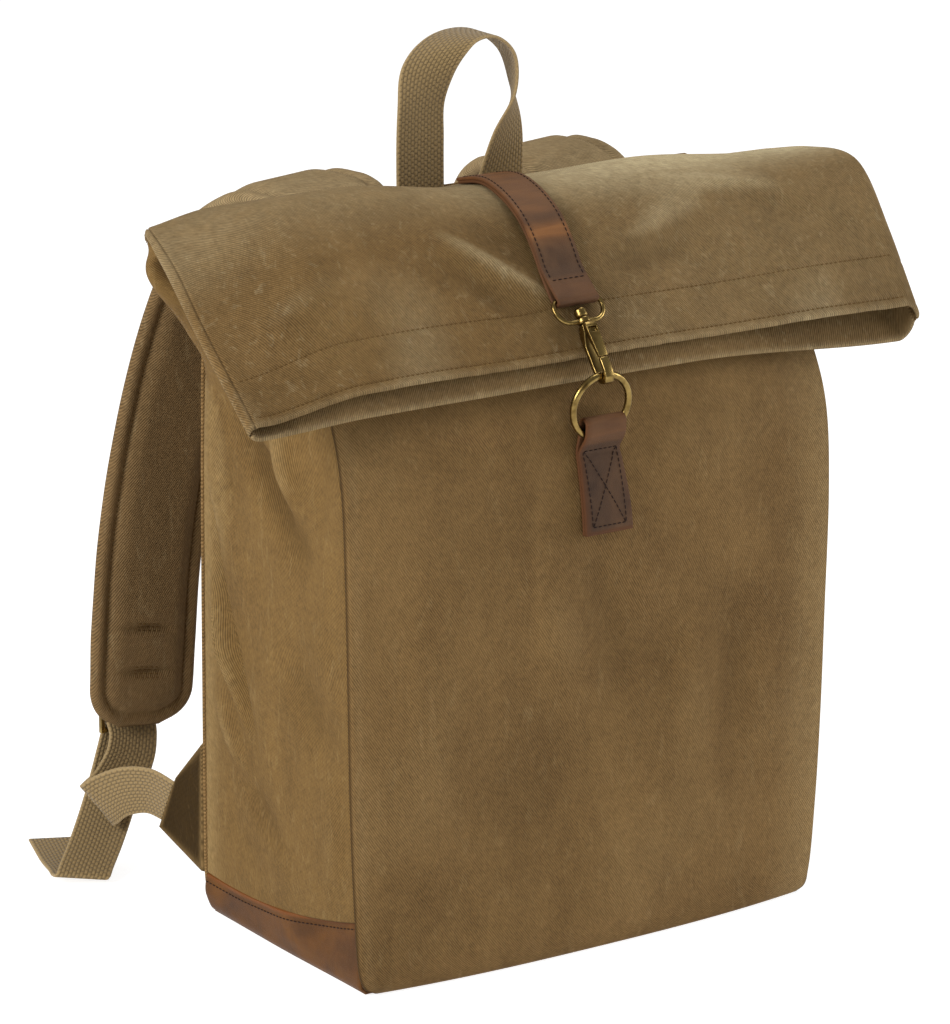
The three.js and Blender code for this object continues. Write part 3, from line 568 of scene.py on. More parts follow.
TWILL = twill_group()
WAX_AND_LIGHT = wax_and_light_group()
BASKET_AND_EDGE_HIGHLIGHT = web_group()
GRAIN = leather_group()
PATINA = patina_group()


def new_material(name):
    material = bpy.data.materials.new(name)
    material.use_nodes = True
    tree = material.node_tree
    return material, tree, tree.nodes["Principled BSDF"].inputs


def place_of(tree):
    return put(tree, "ShaderNodeTexCoord").outputs["Object"]


def flat_of(tree):
    return put(tree, "ShaderNodeUVMap", uv_map="UVMap").outputs[0]


def mark(tree, name):
    return put(tree, "ShaderNodeAttribute", attribute_name=name).outputs["Fac"]


def bump(tree, height, distance):
    return put(tree, "ShaderNodeBump", {"Height": height, "Distance": distance}).outputs[0]


def canvas_material(name, dark, mid, pale):
    material, tree, shader = new_material(name)
    weave = use_group(tree, TWILL, Flat=flat_of(tree), Slant=TWILL_SLANT)
    wax_and_light = use_group(tree, WAX_AND_LIGHT, Place=place_of(tree), Rub=mark(tree, "pale_and_painted_light"))
    ground = blend(tree, wax_and_light["Tone"], colour(*dark), colour(*mid))
    worn = blend(tree, calc(tree, "MULTIPLY", wax_and_light["Scuff"], 0.2), ground, colour(*pale))
    # Paler where the pale mark is: wax bloom and wear, and also painted highlight and painted light.
    paled_and_lit = blend(tree, wax_and_light["Bloom_and_painted_light"], worn, colour(*pale))
    thread = calc(tree, "SUBTRACT", remap(tree, weave["Thread"], 0.2, 0.8), 0.5)
    strength = calc(tree, "MULTIPLY_ADD", wax_and_light["Tone"], -0.5, 1.15)
    shade = calc(tree, "MULTIPLY_ADD", thread, strength, 1.0)
    tinted = put(tree, "ShaderNodeVectorMath", {0: paled_and_lit, 1: shade}, operation="MULTIPLY").outputs[0]
    feed(tree, shader, {
        # Darkened toward the dark tone where the shade mark is: painted shade in seams, creases and hollows.
        "Base Color": blend(tree, mark(tree, "painted_shade"), tinted, colour(*PAINTED_SHADE_TONE)),
        "Roughness": calc(tree, "MULTIPLY_ADD", wax_and_light["Tone"], 0.16, 0.66),
        "Specular IOR Level": 0.06,
        "Normal": bump(tree, weave["Height"], 0.00022),
    })
    return material


def webbing_material(name, dark, mid, pale):
    material, tree, shader = new_material(name)
    weave = use_group(tree, BASKET_AND_EDGE_HIGHLIGHT, Flat=flat_of(tree))
    ground = blend(tree, remap(tree, weave["Height"], 0.05, 0.8), colour(*dark), colour(*mid))
    varied = blend(tree, calc(tree, "MULTIPLY", weave["Yarn"], 0.35), ground, colour(*pale))
    feed(tree, shader, {
        # Paler at the band's edges: a painted highlight where light catches them.
        "Base Color": blend(tree, calc(tree, "MULTIPLY", weave["Edge_highlight"], 0.6), varied, colour(*pale)),
        "Roughness": 0.82,
        "Specular IOR Level": 0.2,
        "Sheen Weight": 0.15,
        "Normal": bump(tree, weave["Height"], 0.0005),
    })
    return material


def leather_material(name, dark, mid, warm, edge):
    material, tree, shader = new_material(name)
    grain = use_group(tree, GRAIN, Place=place_of(tree))
    ground = blend(tree, grain["Tone"], colour(*dark), colour(*mid))
    share = calc(tree, "MULTIPLY", mark(tree, "warm"), calc(tree, "MULTIPLY_ADD", grain["Pull"], 0.5, 0.6))
    pulled = blend(tree, share, ground, colour(*warm))
    feed(tree, shader, {
        "Base Color": blend(tree, mark(tree, "raw"), pulled, colour(*edge)),
        "Roughness": calc(tree, "MULTIPLY_ADD", grain["Tone"], 0.15, 0.45),
        "Specular IOR Level": 0.1,
        "Normal": bump(tree, grain["Height"], 0.00012),
    })
    return material


def brass_material():
    material, tree, shader = new_material("old_brass")
    age = use_group(tree, PATINA, Place=place_of(tree))
    bright, dull = BRASS_TONES
    feed(tree, shader, {
        "Base Color": blend(tree, age["Tarnish"], colour(*bright), colour(*dull)),
        "Metallic": 1.0,
        "Roughness": calc(tree, "MULTIPLY_ADD", age["Tarnish"], 0.14, 0.24),
        "Normal": bump(tree, age["Polish"], 0.00001),
    })
    return material


def thread_material(name, tone):
    material, tree, shader = new_material(name)
    fibre = noise(tree, place_of(tree), 2600, 2)
    pale = [part * 1.35 for part in tone]
    feed(tree, shader, {
        "Base Color": blend(tree, fibre, colour(*tone), colour(*pale)),
        "Roughness": 0.7,
        "Specular IOR Level": 0.1,
    })
    return material


# Colours of each material: dark, middle and pale, and for leather warm and edge.
# The canvases' pale colours serve wax bloom and wear, and also painted highlight and painted light.
BODY_CANVAS = canvas_material("waxed_canvas_body", (97, 72, 41), (132, 103, 64), (160, 135, 94))
ROLL_CANVAS = canvas_material("waxed_canvas_roll", (92, 70, 40), (128, 101, 63), (184, 167, 130))
SIDE_CANVAS = canvas_material("waxed_canvas_sides", (91, 67, 35), (123, 95, 54), (168, 143, 98))
PAD_CANVAS = canvas_material("waxed_canvas_pads", (95, 73, 45), (118, 92, 59), (172, 152, 114))
# The wings' canvas gets darker colours than the rest: painted shade, as the wings stand in shade.
WING_CANVAS_PAINTED_SHADE = canvas_material("waxed_canvas_wings_painted_shade", (46, 33, 14), (61, 45, 21), (122, 98, 62))
WEBBING = webbing_material("cotton_web", (80, 64, 38), (134, 111, 72), (180, 154, 110))
STRAP_LEATHER = leather_material("strap_leather", (62, 46, 36), (95, 70, 50), (148, 99, 57), (90, 55, 31))
BASE_LEATHER = leather_material("base_leather", (54, 34, 16), (104, 69, 33), (122, 74, 29), (112, 66, 28))
BRASS = brass_material()
CANVAS_THREAD = thread_material("canvas_thread", (80, 59, 30))
LEATHER_THREAD = thread_material("leather_thread", (34, 24, 20))


# Stitches: one low shape, copied along every seam.
def stitch_shape(length, radius):
    turn = np.radians(np.arange(0, 360, 60))
    circle = radius * np.stack([np.cos(turn), np.sin(turn)], -1)
    rings = []
    for at, share in ((-1, 0.1), (-0.62, 0.85), (0, 1), (0.62, 0.85), (1, 0.1)):
        rings.append(np.column_stack([np.full(len(turn), at * length / 2), share * circle]))
    _, quads = tube_faces(len(rings), len(turn))
    return np.concatenate(rings), quads


def along(values, reach, places):
    return np.stack([np.interp(places, reach, column) for column in values.T], -1)


def sew(name, material, seams, length, gap, radius):
    """Rows of stitches: each seam is a line of points with the normals of the cloth below it."""
    shape, quads = stitch_shape(length, radius)
    points, faces = [], []
    for path, normals in seams:
        reach = lengths(path)
        count = max(int(reach[-1] / (length + gap)), 1)
        places = (np.arange(count) + 0.5) * reach[-1] / count
        run = unit(along(path, reach, places + 0.4) - along(path, reach, places - 0.4))
        face = unit(along(normals, reach, places))
        basis = np.stack([run, unit(np.cross(face, run)), face], 1)
        spots = along(path, reach, places) + face * radius * 0.35
        for spot, turn in zip(spots, basis):
            faces.append(quads + len(shape) * len(points))
            points.append(spot + shape @ turn)
    everything = np.concatenate(points)
    piece = make_piece(name, everything, np.concatenate(faces).tolist(), everything[:, :2], {})
    dress(piece, "bag", "cotton_webbing", material)


def edge_line(points, inset, last=True):
    """The line that runs inset inside the last or first row of a grid, and the normals along it."""
    turned = slice(None, None, -1 if last else 1)
    spots, normals = points[turned], grid_normals(points)[turned]
    reach = lengths(spots)
    columns = range(spots.shape[1])
    line = [[np.interp(inset, reach[:, i], spots[:, i, k]) for k in range(3)] for i in columns]
    face = [[np.interp(inset, reach[:, i], normals[:, i, k]) for k in range(3)] for i in columns]
    return np.array(line), np.array(face)


def cross_line(spot, up, half):
    """A short line across a band through one of its spots, and the normals along it."""
    return spot + np.outer(np.linspace(-half, half, 12), (1, 0, 0)), np.tile(up, (12, 1))


def band_line(path, wide, across, lift):
    """A line on a band: across from its middle and lifted off its middle layer."""
    up = unit(np.cross(unit(np.gradient(path, axis=0)), wide))
    return path + wide * np.asarray(across)[..., None] + up * lift, up


# The canvas body.
def front_canvas():
    u, v = grid(150, 170)
    row = row_at(FRONT, v)
    side = np.sin((2 * u - 1) * math.pi / 2)
    half = np.where(side < 0, row[..., 2], row[..., 3])
    swell = 1 - np.abs(side) ** 2.6
    out, up = (row[..., k] + row[..., k + 4] * swell for k in (0, 1))
    points = np.stack([side * half, out, up], -1)
    from_edge = (1 - np.abs(side)) * half
    turn = np.clip(1 - from_edge / 2.2, 0, 1)
    points[..., 1] += 1.9 * turn ** 2 * smooth(2, 14, points[..., 2])
    inside = smooth(4, 40, from_edge) * smooth(1, 20, points[..., 2])
    dents = 1.5 * waves(points, 150, 3) + 0.6 * waves(points, 62, 5) + folds(points, FRONT_FOLDS)
    points = pushed(points, inside * dents)
    # Paler: a little wax bloom all over, a painted highlight on the ridge beside each seam and on fold
    # ridges, and painted light along the right margin, as lit from the right.
    pale_and_painted_light = 0.14 * bell(from_edge, 5, 3) + 0.07 + 0.1 * smooth(0.5, 3, dents)
    pale_and_painted_light += 0.42 * smooth(40, 4, from_edge) * (side > 0)
    # Painted shade: a dark line in the seam groove at each edge, and darker fold valleys.
    painted_shade = 0.75 * bell(from_edge, 0, 0.7) + 0.12 * smooth(0, -4, dents) * inside
    piece = make_sheet("front_canvas", points, CANVAS, {"pale_and_painted_light": pale_and_painted_light, "painted_shade": painted_shade})
    dress(piece, "bag", "waxed_canvas", BODY_CANVAS, "front_panel")


def back_canvas():
    u, v = grid(90, 120)
    row = row_at(BACK, v)
    side = 1 - 2 * u
    swell = 1 - np.abs(side) ** 2.6
    points = np.stack([side * row[..., 2], row[..., 0] + row[..., 3] * swell, row[..., 1]], -1)
    inside = smooth(2, 40, (1 - np.abs(side)) * 150) * smooth(1, 20, points[..., 2])
    points = pushed(points, inside * (1.6 * waves(points, 140, 11) + 0.5 * waves(points, 60, 12)))
    pale_and_painted_light = np.full(u.shape, 0.12)
    piece = make_sheet("back_canvas", points, CANVAS, {"pale_and_painted_light": pale_and_painted_light})
    dress(piece, "bag", "waxed_canvas", BODY_CANVAS, "back_panel")


def side_canvas(way, name, node):
    u, v = grid(150, 140)
    u = u - 0.8 * np.sin(2 * math.pi * u) / (2 * math.pi)
    row = row_at(SIDE, v)
    back = 1 - u
    swell = np.maximum(np.sin(math.pi * back ** (math.log(0.5) / np.log(row[..., 6]))), 0) ** row[..., 7]
    height = np.where(v < 0.12, (1 - back) ** 2.2, 1 - back)
    y = row[..., 0] + (row[..., 2] - row[..., 0]) * back
    z = row[..., 3] + (row[..., 1] - row[..., 3]) * height
    front_half = np.interp(z, FRONT[:, 1], FRONT[:, 2 if way < 0 else 3]) - 0.2
    half = front_half + (row[..., 4] - front_half) * smooth(0, 0.7, back)
    from_front = y - row[..., 0]
    tuck = 1.6 * np.clip(1 - from_front / 2.6, 0, 1) ** 2 * smooth(0, 0.5, 1 - v)
    points = np.stack([tuck - half - row[..., 5] * swell, y, z], -1)
    inside = smooth(3, 22, np.minimum(u, 1 - u) * 150) * smooth(0, 0.1, v) * smooth(0, 0.16, 1 - v)
    dents = 1.6 * waves(points, 120, 21) + 0.8 * waves(points, 46, 22) + folds(points, SIDE_FOLDS)
    mouth = fold(points, *SIDE_MOUTH)
    dents = inside * dents + mouth
    points = pushed(points, dents)
    # Paler: a little wax bloom all over, a painted highlight on fold ridges, and paler along the back edge.
    pale_and_painted_light = 0.08 + 0.26 * smooth(0.8, 4.0, dents) + 0.4 * bell(u * 150, 0, 14)
    # Painted shade: a dark line in the seam groove at the front edge, darker fold valleys, and the shaded
    # hollow of the mouth.
    painted_shade = 0.75 * bell(from_front, 0, 0.9)
    painted_shade += 0.4 * smooth(-0.8, -8.0, dents) + 0.4 * smooth(-1, -7, mouth)
    if way > 0:
        points, pale_and_painted_light, painted_shade = other_side(points, pale_and_painted_light, painted_shade)
    piece = make_sheet(name, points, CANVAS, {"pale_and_painted_light": pale_and_painted_light, "painted_shade": painted_shade})
    dress(piece, "bag", "waxed_canvas", SIDE_CANVAS, node)


def base_leather():
    u, v = grid(60, 220)
    side = 2 * v - 1
    reach = np.abs(side)
    last = len(BASE)
    rows = np.zeros((last + 1,) + u.shape + (2,))
    for k, spot in enumerate(BASE):
        rows[k] = spot
    rows[last] = np.stack([149 + 3 * np.sin(math.pi * u), 21.3 + 20 * (1 - u) ** 2.2], -1)
    place = reach * last
    i = np.minimum(place.astype(int), last - 1)
    near = [np.take_along_axis(rows, np.clip(i + k, 0, last)[None, ..., None], 0)[0] for k in (-1, 0, 1, 2)]
    row = between(*near, (place - i)[..., None])
    rise = row[..., 1]
    tuck = 1 - smooth(0, 16, rise)
    corner = smooth(14, 1, rise) * smooth(0.34, 0.44, reach)
    front = -79 - 1.3 * tuck + np.where(side < 0, *BASE_BACK) * corner
    back = 75 - 3.6 * tuck
    slim = np.where(side < 0, *BASE_SLIM) * smooth(0.6, 0, u)
    x = np.sign(side) * row[..., 0] * (1 - slim)
    points = np.stack([x, front + (back - front) * u, np.maximum(rise, 0)], -1)
    points = pushed(points, 0.5 * waves(points, 45, 41) * smooth(4, 12, rise))
    raw = smooth(2.4, 0.6, np.minimum(lengths(points), lengths(points[::-1])[::-1]))
    piece = make_sheet("base_leather", points, LEATHER, {"warm": np.full(u.shape, 0.25), "raw": raw})
    dress(piece, "bag", "brown_leather", BASE_LEATHER, "leather_base")
    seams = [edge_line(points, 4.2, at_back) for at_back in (False, True)]
    sew("base_stitches", LEATHER_THREAD, seams, length=2.6, gap=0.8, radius=0.36)


# The roll top.
def flap_points(own, other, outside, across, along):
    """One layer of the roll as a grid, its ends turned toward the other layer."""
    u, v = grid(across, along)
    v = 1 - (1 - v) ** 1.7
    side = 1 - 2 * u if outside else 2 * u - 1
    reach = np.abs(side)
    near, far = row_at(own, v), row_at(other, v)
    most = 42 + np.where(side < 0, 34, 43) * smooth(0, 0.45, v)
    turn = np.radians(most) * np.maximum((reach - ROLL_FLAT) / (1 - ROLL_FLAT), 0)
    bend = np.where(side < 0, *ROLL_BEND)
    x = np.sign(side) * ((near[..., 0] - bend) * np.minimum(reach / ROLL_FLAT, 1) + bend * np.sin(turn))
    x = x - smooth(90, 200, x) * (4.5 - 2.5 * v)
    left = x < 0
    drop = smooth(np.where(left, 140, 60), near[..., 0], np.abs(x))
    keep = (1 + np.cos(turn)) / 2
    layers = []
    for row in (near, far):
        end = np.where(left[..., None], row[..., 3:5], row[..., 5:7])
        layers.append(row[..., 1:3] + (end - row[..., 1:3]) * drop[..., None])
    here, there = layers
    section = there + (here - there) * keep[..., None]
    return np.concatenate([x[..., None], section], -1), side, v


def roll_outer():
    points, side, v = flap_points(FLAP_OUTER, FLAP_INNER, True, 240, 110)
    reach = np.abs(side)
    x = points[..., 0]
    hump = smooth(-18, -95, x) * smooth(-212, -165, x) * smooth(0, 0.2, v) * smooth(0.62, 0.3, v)
    points[..., 2] += ROLL_RISE * hump
    inside = smooth(0, 0.12, 1 - reach)
    dents = 1.3 * waves(points, 130, 31) + 0.5 * waves(points, 50, 33) + folds(points, FLAP_FOLDS)
    dents = inside * dents * smooth(0.02, 0.2, v)
    down = lengths(points[::-1])[::-1]
    pucker = 0.35 * inside * waves(points, 14, 35) * bell(down, 0, 6)
    sewn = 0.45 * bell(down, HEM_ROWS[0], 0.9) + 0.3 * bell(down, HEM_ROWS[1], 1.1)
    seam = 0.8 * bell(reach, ROLL_SEAM, 0.014) * (side < 0)
    points = pushed(points, dents + pucker - sewn - seam)
    # Paler at the hem and toward the ends; painted highlight on fold ridges; painted light on the right half
    # and across the top where light falls, most on the right.
    pale_and_painted_light = 0.16 * bell(down, 0, 1.8) + 0.36 * smooth(0.8, 3.2, dents) + 0.14 * smooth(-0.3, 0.4, side)
    pale_and_painted_light += 0.1 * smooth(0.93, 1.0, reach)
    pale_and_painted_light += smooth(0.62, 0.36, v) * (0.28 + 0.84 * smooth(-0.4, 0.6, side))
    # Painted shade in fold valleys and in the seam groove of the left end.
    painted_shade = 0.22 * smooth(-0.6, -3.2, dents) + 0.5 * bell(reach, ROLL_SEAM, 0.006) * (side < 0)
    thick = CANVAS + 0.9 * inside * bell(down, 0, 5)
    piece = make_sheet("roll_outer", points, thick, {"pale_and_painted_light": pale_and_painted_light, "painted_shade": painted_shade})
    dress(piece, "bag", "waxed_canvas", ROLL_CANVAS, "flap_outer")
    rows = [edge_line(points, inset) for inset in HEM_ROWS]
    seams = [(line[ROLL_SEWN], face[ROLL_SEWN]) for line, face in rows]
    sew("hem_stitches", CANVAS_THREAD, seams, length=2.0, gap=1.0, radius=0.34)
    return points


def roll_inner():
    points, side, v = flap_points(FLAP_INNER, FLAP_OUTER, False, 200, 110)
    down = lengths(points[::-1])[::-1]
    inside = smooth(0, 0.12, 1 - np.abs(side)) * smooth(0.1, 0.4, v)
    points = pushed(points, inside * 0.9 * waves(points, 90, 37))
    pale_and_painted_light = 0.08 + 0.2 * bell(down, 0, 1.8)
    piece = make_sheet("roll_inner", points, CANVAS + 0.6 * bell(down, 0, 5), {"pale_and_painted_light": pale_and_painted_light})
    dress(piece, "bag", "waxed_canvas", ROLL_CANVAS, "flap_inner")
    line, face = edge_line(points, HEM_ROWS[0])
    seam = (line[ROLL_SEWN], face[ROLL_SEWN])
    sew("inner_hem_stitches", CANVAS_THREAD, [seam], length=2.0, gap=1.0, radius=0.34)
    return points


def roll_end(name, outer, inner, rightward):
    """Cloth folded into one end of the roll, from inside the outer flap's edge round to the inner one's."""
    start, finish = outer[:, 0], inner[:, 0]
    span = np.linalg.norm(finish - start, axis=-1, keepdims=True)
    depth = smooth(0.02, 0.28, np.linspace(0, 1, len(start)))[:, None]
    rim = unit(finish - start) * np.minimum(CANVAS + GAP, 0.3 * span) * depth
    start, finish = start + rim, finish - rim
    leave = np.array((math.copysign(2.0, -start[0, 0]), 0, 0)) * span * depth
    arrive = -leave
    s = np.linspace(0, 1, 21)[:, None, None]
    points = (2 * s ** 3 - 3 * s ** 2 + 1) * start + (s ** 3 - 2 * s ** 2 + s) * leave
    points += (3 * s ** 2 - 2 * s ** 3) * finish + (s ** 3 - s ** 2) * arrive
    points = points.transpose(1, 0, 2)
    if rightward:
        points = points[:, ::-1]
    fold_in = np.sin(math.pi * np.linspace(0, 1, 21))[None] + 0 * points[..., 0]
    # Painted shade deepest in the middle of the folded-in cloth, paler toward its edges.
    marks = {"pale_and_painted_light": 0.15 * (1 - fold_in), "painted_shade": 0.45 * fold_in}
    piece = make_sheet(name, points, ROLL_END_THICK, marks)
    dress(piece, "bag", "waxed_canvas", ROLL_CANVAS)


# Straps, pads and webbing.
def above_flap(lift, t):
    """Points over the outer flap's middle line, at shares t along it."""
    row = row_at(FLAP_OUTER, t)
    run = unit((row_at(FLAP_OUTER, t + 0.01) - row_at(FLAP_OUTER, t - 0.01))[..., 1:3])
    x = np.full(len(row), CLASP_X)
    return np.stack([x, row[..., 1] + run[..., 1] * lift, row[..., 2] - run[..., 0] * lift], -1)


def closing_strap():
    eye = CLASP_TOP + CLASP_DOWN * LOOP_TOP
    tip = math.atan2(CLASP_DOWN[2], CLASP_DOWN[1])
    angles = tip + np.radians(np.linspace(-70, 70, 6))
    bend = eye + 2.75 * np.stack([0 * angles, np.cos(angles), np.sin(angles)], -1)
    places = np.linspace(*STRAP_SPAN, 16)
    thicker = smooth(0.3, 0.6, places)
    upper = above_flap(GAP + 1.9 + 1.2 * thicker, places)
    lower = above_flap(GAP + 0.2 + 0.8 * thicker, places + 0.012)[::-1]
    path = resampled(np.concatenate([upper, bend, lower]), 1.6)
    path[:, 0] += STRAP_LEAN * np.maximum(path[:, 1] - eye[1], 0) / (40 - eye[1])
    wide = crosswise(path)
    section = band_section(STRAP_WIDTH, LEATHER)
    reach = lengths(path)
    above = reach[np.argmin(path[:, 1])] - STRAP_SEWN - reach
    warm = 0.85 * bell(above, 28, 6) + 0.35 * smooth(34, 44, above)
    warm += 0.3 * smooth(76, 92, above) + 0.25 * smooth(1.5, -1.5, above)
    raw = 0.55 * (np.abs(section[:, 0]) > STRAP_WIDTH / 2 - 0.8)
    piece = make_band("closing_strap", path, wide, section, {"warm": warm[:, None], "raw": raw})
    dress(piece, "bag", "brown_leather", STRAP_LEATHER, "closure_strap")
    end = int(np.searchsorted(-above, 0))
    seams = []
    for across in (-STRAP_ROW, STRAP_ROW):
        seams.append(band_line(path[2:end], wide[2:end], across, LEATHER / 2))
    spots, up = band_line(path, wide, 0, LEATHER / 2)
    seams.append(cross_line(spots[end], up[end], STRAP_ROW))
    sew("strap_stitches", LEATHER_THREAD, seams, length=2.5, gap=0.6, radius=0.34)


def front_middle(z):
    """How far out the middle of the front stands at height z."""
    v = np.linspace(0, 0.8, 400)
    row = row_at(FRONT, v)
    return np.interp(z, row[:, 1] + row[:, 5], row[:, 0] + row[:, 4])


def on_ring(forward, up):
    """Points across the ring: forward of its plane, and up along it from its centre."""
    s, c = math.sin(RING_LEAN), math.cos(RING_LEAN)
    forward, up = np.asarray(forward, float), np.asarray(up, float)
    y = RING_CENTRE[1] - c * forward - s * up
    z = RING_CENTRE[2] - s * forward + c * up
    return np.stack([np.full_like(y, CLASP_X), y, z], -1)


def ring_tab():
    rise = np.linspace(*TAB_RISE, 9)
    behind = np.stack([np.full(len(rise), CLASP_X), front_middle(rise) - GAP - 1.0, rise], -1)
    before = behind + np.array((0, -2.05, 0))
    turn = np.radians(np.linspace(0, 180, 7))
    bow = on_ring(-3 * np.cos(turn), -9.7 + 3 * np.sin(turn))
    up, down = on_ring((-2.9, 2.9), (-16.5, -16.5))
    path = resampled(np.concatenate([behind, [up], bow, [down], before[::-1]]), 1.4)
    foot = smooth(290, 232, path[:, 2])
    path[:, 0] += 2.4 + (TAB_ASIDE - 1.6) * foot
    wide = crosswise(path)
    section = band_section(TAB_WIDTH, LEATHER)
    sections = np.repeat(section[None], len(path), 0)
    sections[..., 0] *= (0.97 + TAB_WIDER * foot)[:, None]
    from_end = lengths(path[::-1])[::-1]
    edge = smooth(TAB_WIDTH / 2 - 2.4, TAB_WIDTH / 2, np.abs(section[:, 0]))
    edge = edge * np.where(section[:, 0] < 0, 0.8, 0.35)
    raw = np.maximum(edge, 0.8 * smooth(3.0, 0.5, from_end)[:, None])
    warm = 0.35 * smooth(50, 56, from_end)
    piece = make_band("ring_tab_leather", path, wide, sections, {"warm": warm[:, None], "raw": raw})
    dress(piece, "bag", "brown_leather", STRAP_LEATHER, "ring_tab")
    first, last = np.searchsorted(-from_end, (-47, -3.6))
    sewn = slice(first, last)
    slope = np.linspace(-TAB_CROSS, TAB_CROSS, last - first)
    seams = []
    for across in (-TAB_ROW, TAB_ROW, -slope, slope):
        seams.append(band_line(path[sewn], wide[sewn], across, LEATHER / 2))
    spots, up = band_line(path, wide, 0, LEATHER / 2)
    for row in (first, last - 1):
        seams.append(cross_line(spots[row], up[row], TAB_ROW))
    sew("tab_stitches", LEATHER_THREAD, seams, length=2.5, gap=0.5, radius=0.32)


def web_band(name, path, wide, node):
    piece = make_band(name, path, wide, band_section(WEB_WIDTH, WEB_THICK), {})
    dress(piece, "bag", "cotton_webbing", WEBBING, node)


def web_strap(name, table, node):
    rows = resampled(table, 1.5)
    web_band(name, rows[:, :3], unit(rows[:, 3:]), node)


def pad_height(inset, thick):
    """Half a pad's thickness at some distance inside its edge: a thin rim, a sewn groove, a plump middle."""
    rim = np.sqrt(np.clip(inset / 2.6, 0, 1))
    crown = smooth(PAD_SEAM, PAD_SEAM + 9, inset)
    groove = bell(inset, PAD_SEAM, 1.5)
    return rim * thick * (0.31 + 0.19 * crown - 0.13 * groove)


def shoulder_pad(way, name, node):
    rows = resampled(mirrored(PAD, 0, 5) if way > 0 else PAD, 1.9)
    path = rows[:, :3]
    steps = len(path)
    reach = lengths(path)
    lean = rows[:, 5] + 0.09 * smooth(110, 40, reach)
    wide = unit(np.stack([np.ones(steps), np.zeros(steps), lean], -1))
    nose = np.clip((reach - reach[-1] + PAD_NOSE) / PAD_NOSE, 0, 1)
    half = np.minimum(rows[:, 3] / 2, 33.5 * np.maximum(1 - nose ** 3.4, 0.1) ** (1 / 2.4))
    across = np.sin(np.linspace(-math.pi / 2, math.pi / 2, 45))[None] * half[:, None]
    place = np.stack(np.broadcast_arrays(across, reach[:, None]), -1)
    outline = np.concatenate([np.stack([-half, reach], -1), np.stack([half, reach], -1)[::-1]])
    inset = np.full(across.shape, 99.0)
    for start, end in zip(outline[:-1], outline[1:]):
        line = end - start
        share = np.clip(((place - start) @ line) / max(line @ line, 1e-9), 0, 1)
        inset = np.minimum(inset, np.linalg.norm(place - start - share[..., None] * line, axis=-1))
    thick = np.minimum(rows[:, 4] * 1.04, 3 + 0.5 * (reach + 2))
    thick = np.maximum(thick, 11 * smooth(1, 0.6, nose))
    spots = np.stack([across / 2.2, reach[:, None] + 0 * across, 0 * across], -1)
    up = pad_height(inset, thick[:, None]) * (1 + 0.09 * waves(spots, 38, 51 + way))
    tack = np.zeros_like(across)
    for from_end in PAD_TACKS:
        line = bell(reach[:, None] + 0.06 * across, reach[-1] - from_end, 2.2)
        tack += 3.0 * line * bell(across, 0, 17)
    top = np.stack([across, up - tack], -1)
    bottom = np.stack([across, -up], -1)[:, -2:0:-1]
    # A little wax bloom all over, and painted light: the pad's upper part, lit from above, paler than the
    # rest.
    pale_and_painted_light = 0.08 + 0.5 * smooth(130, 70, reach)
    piece = make_band(name, path, wide, np.concatenate([top, bottom], 1), {"pale_and_painted_light": pale_and_painted_light[:, None]})
    dress(piece, "bag", "waxed_canvas", PAD_CANVAS, node)
    pad_stitches(name, path, wide, half, reach, top)


def pad_stitches(name, path, wide, half, reach, top):
    """The seam that runs round the pad inside its edge, and its two bar tacks."""
    seams = []
    middle, up = band_line(path, wide, 0, 0)
    rows = np.arange(8, len(path) - 4)
    for way in (-1, 1):
        across = way * np.maximum(half - PAD_SEAM, 1)
        lift = np.array([np.interp(across[k], top[k, :, 0], top[k, :, 1]) for k in rows])
        line = path + wide * across[:, None]
        seams.append((line[rows] + up[rows] * lift[:, None], up[rows]))
    spread = np.linspace(-8, 8, 10)
    for from_end in PAD_TACKS:
        for shift in (-2.6, -1.2, 0.2, 1.6):
            k = int(np.searchsorted(reach, reach[-1] - from_end + shift))
            lift = np.interp(spread, top[k, :, 0], top[k, :, 1])
            line = middle[k] + np.outer(spread, wide[k]) + np.outer(lift, up[k])
            seams.append((line, np.tile(up[k], (10, 1))))
    sew(f"{name}_stitches", CANVAS_THREAD, seams, length=2.0, gap=1.2, radius=0.34)


def strap_wing(way, name, node):
    u, v = grid(30, 30)
    low = WING[0] + (WING[1] - WING[0]) * u[..., None]
    high = WING[3] + (WING[2] - WING[3]) * u[..., None]
    spot = low + (high - low) * v[..., None]
    points = np.stack([np.full(u.shape, WING_X), spot[..., 0], spot[..., 1]], -1)[:, ::-1]
    edge = np.minimum(np.minimum(u, 1 - u), np.minimum(v, 1 - v))[:, ::-1]
    pale_and_painted_light = 0.9 * bell(edge, 0, 0.05)
    if way > 0:
        points, pale_and_painted_light = other_side(points, pale_and_painted_light)
    piece = make_sheet(name, points, WING_THICK, {"pale_and_painted_light": pale_and_painted_light})
    dress(piece, "bag", "waxed_canvas", WING_CANVAS_PAINTED_SHADE, node)


def slider_keeper(way, name, node):
    """The short web loop round the slider's top bar."""
    turn = np.radians(np.linspace(160, 380, 12))
    y = SLIDER["y"] + 3.3 * np.cos(turn)
    z = SLIDER["top"] - SLIDER["bar"] / 2 + 3.3 * np.sin(turn)
    up = [(178.0, 124), (177.6, 112), (177.2, 102)]
    down = [(179.8, 102), (179.9, 112), (180, 124)]
    line = np.concatenate([up, np.stack([y, z], -1), down])
    path = resampled(np.column_stack([np.full(len(line), -way * SLIDER["x"]), line]), 1.2)
    web_band(name, path, crosswise(path), node)


# Brass, worked with Blender's own tools.
def metres(point):
    return tuple(float(part) * MM for part in point)


def on_clasp(out, down, aside=0.0):
    return CLASP_TOP + CLASP_OUT * out + CLASP_DOWN * down + np.array((aside, 0, 0))


def edit_new(add, **settings):
    bpy.ops.object.select_all(action="DESELECT")
    add(**settings)
    bpy.ops.object.mode_set(mode="EDIT")
    bpy.ops.mesh.select_all(action="SELECT")


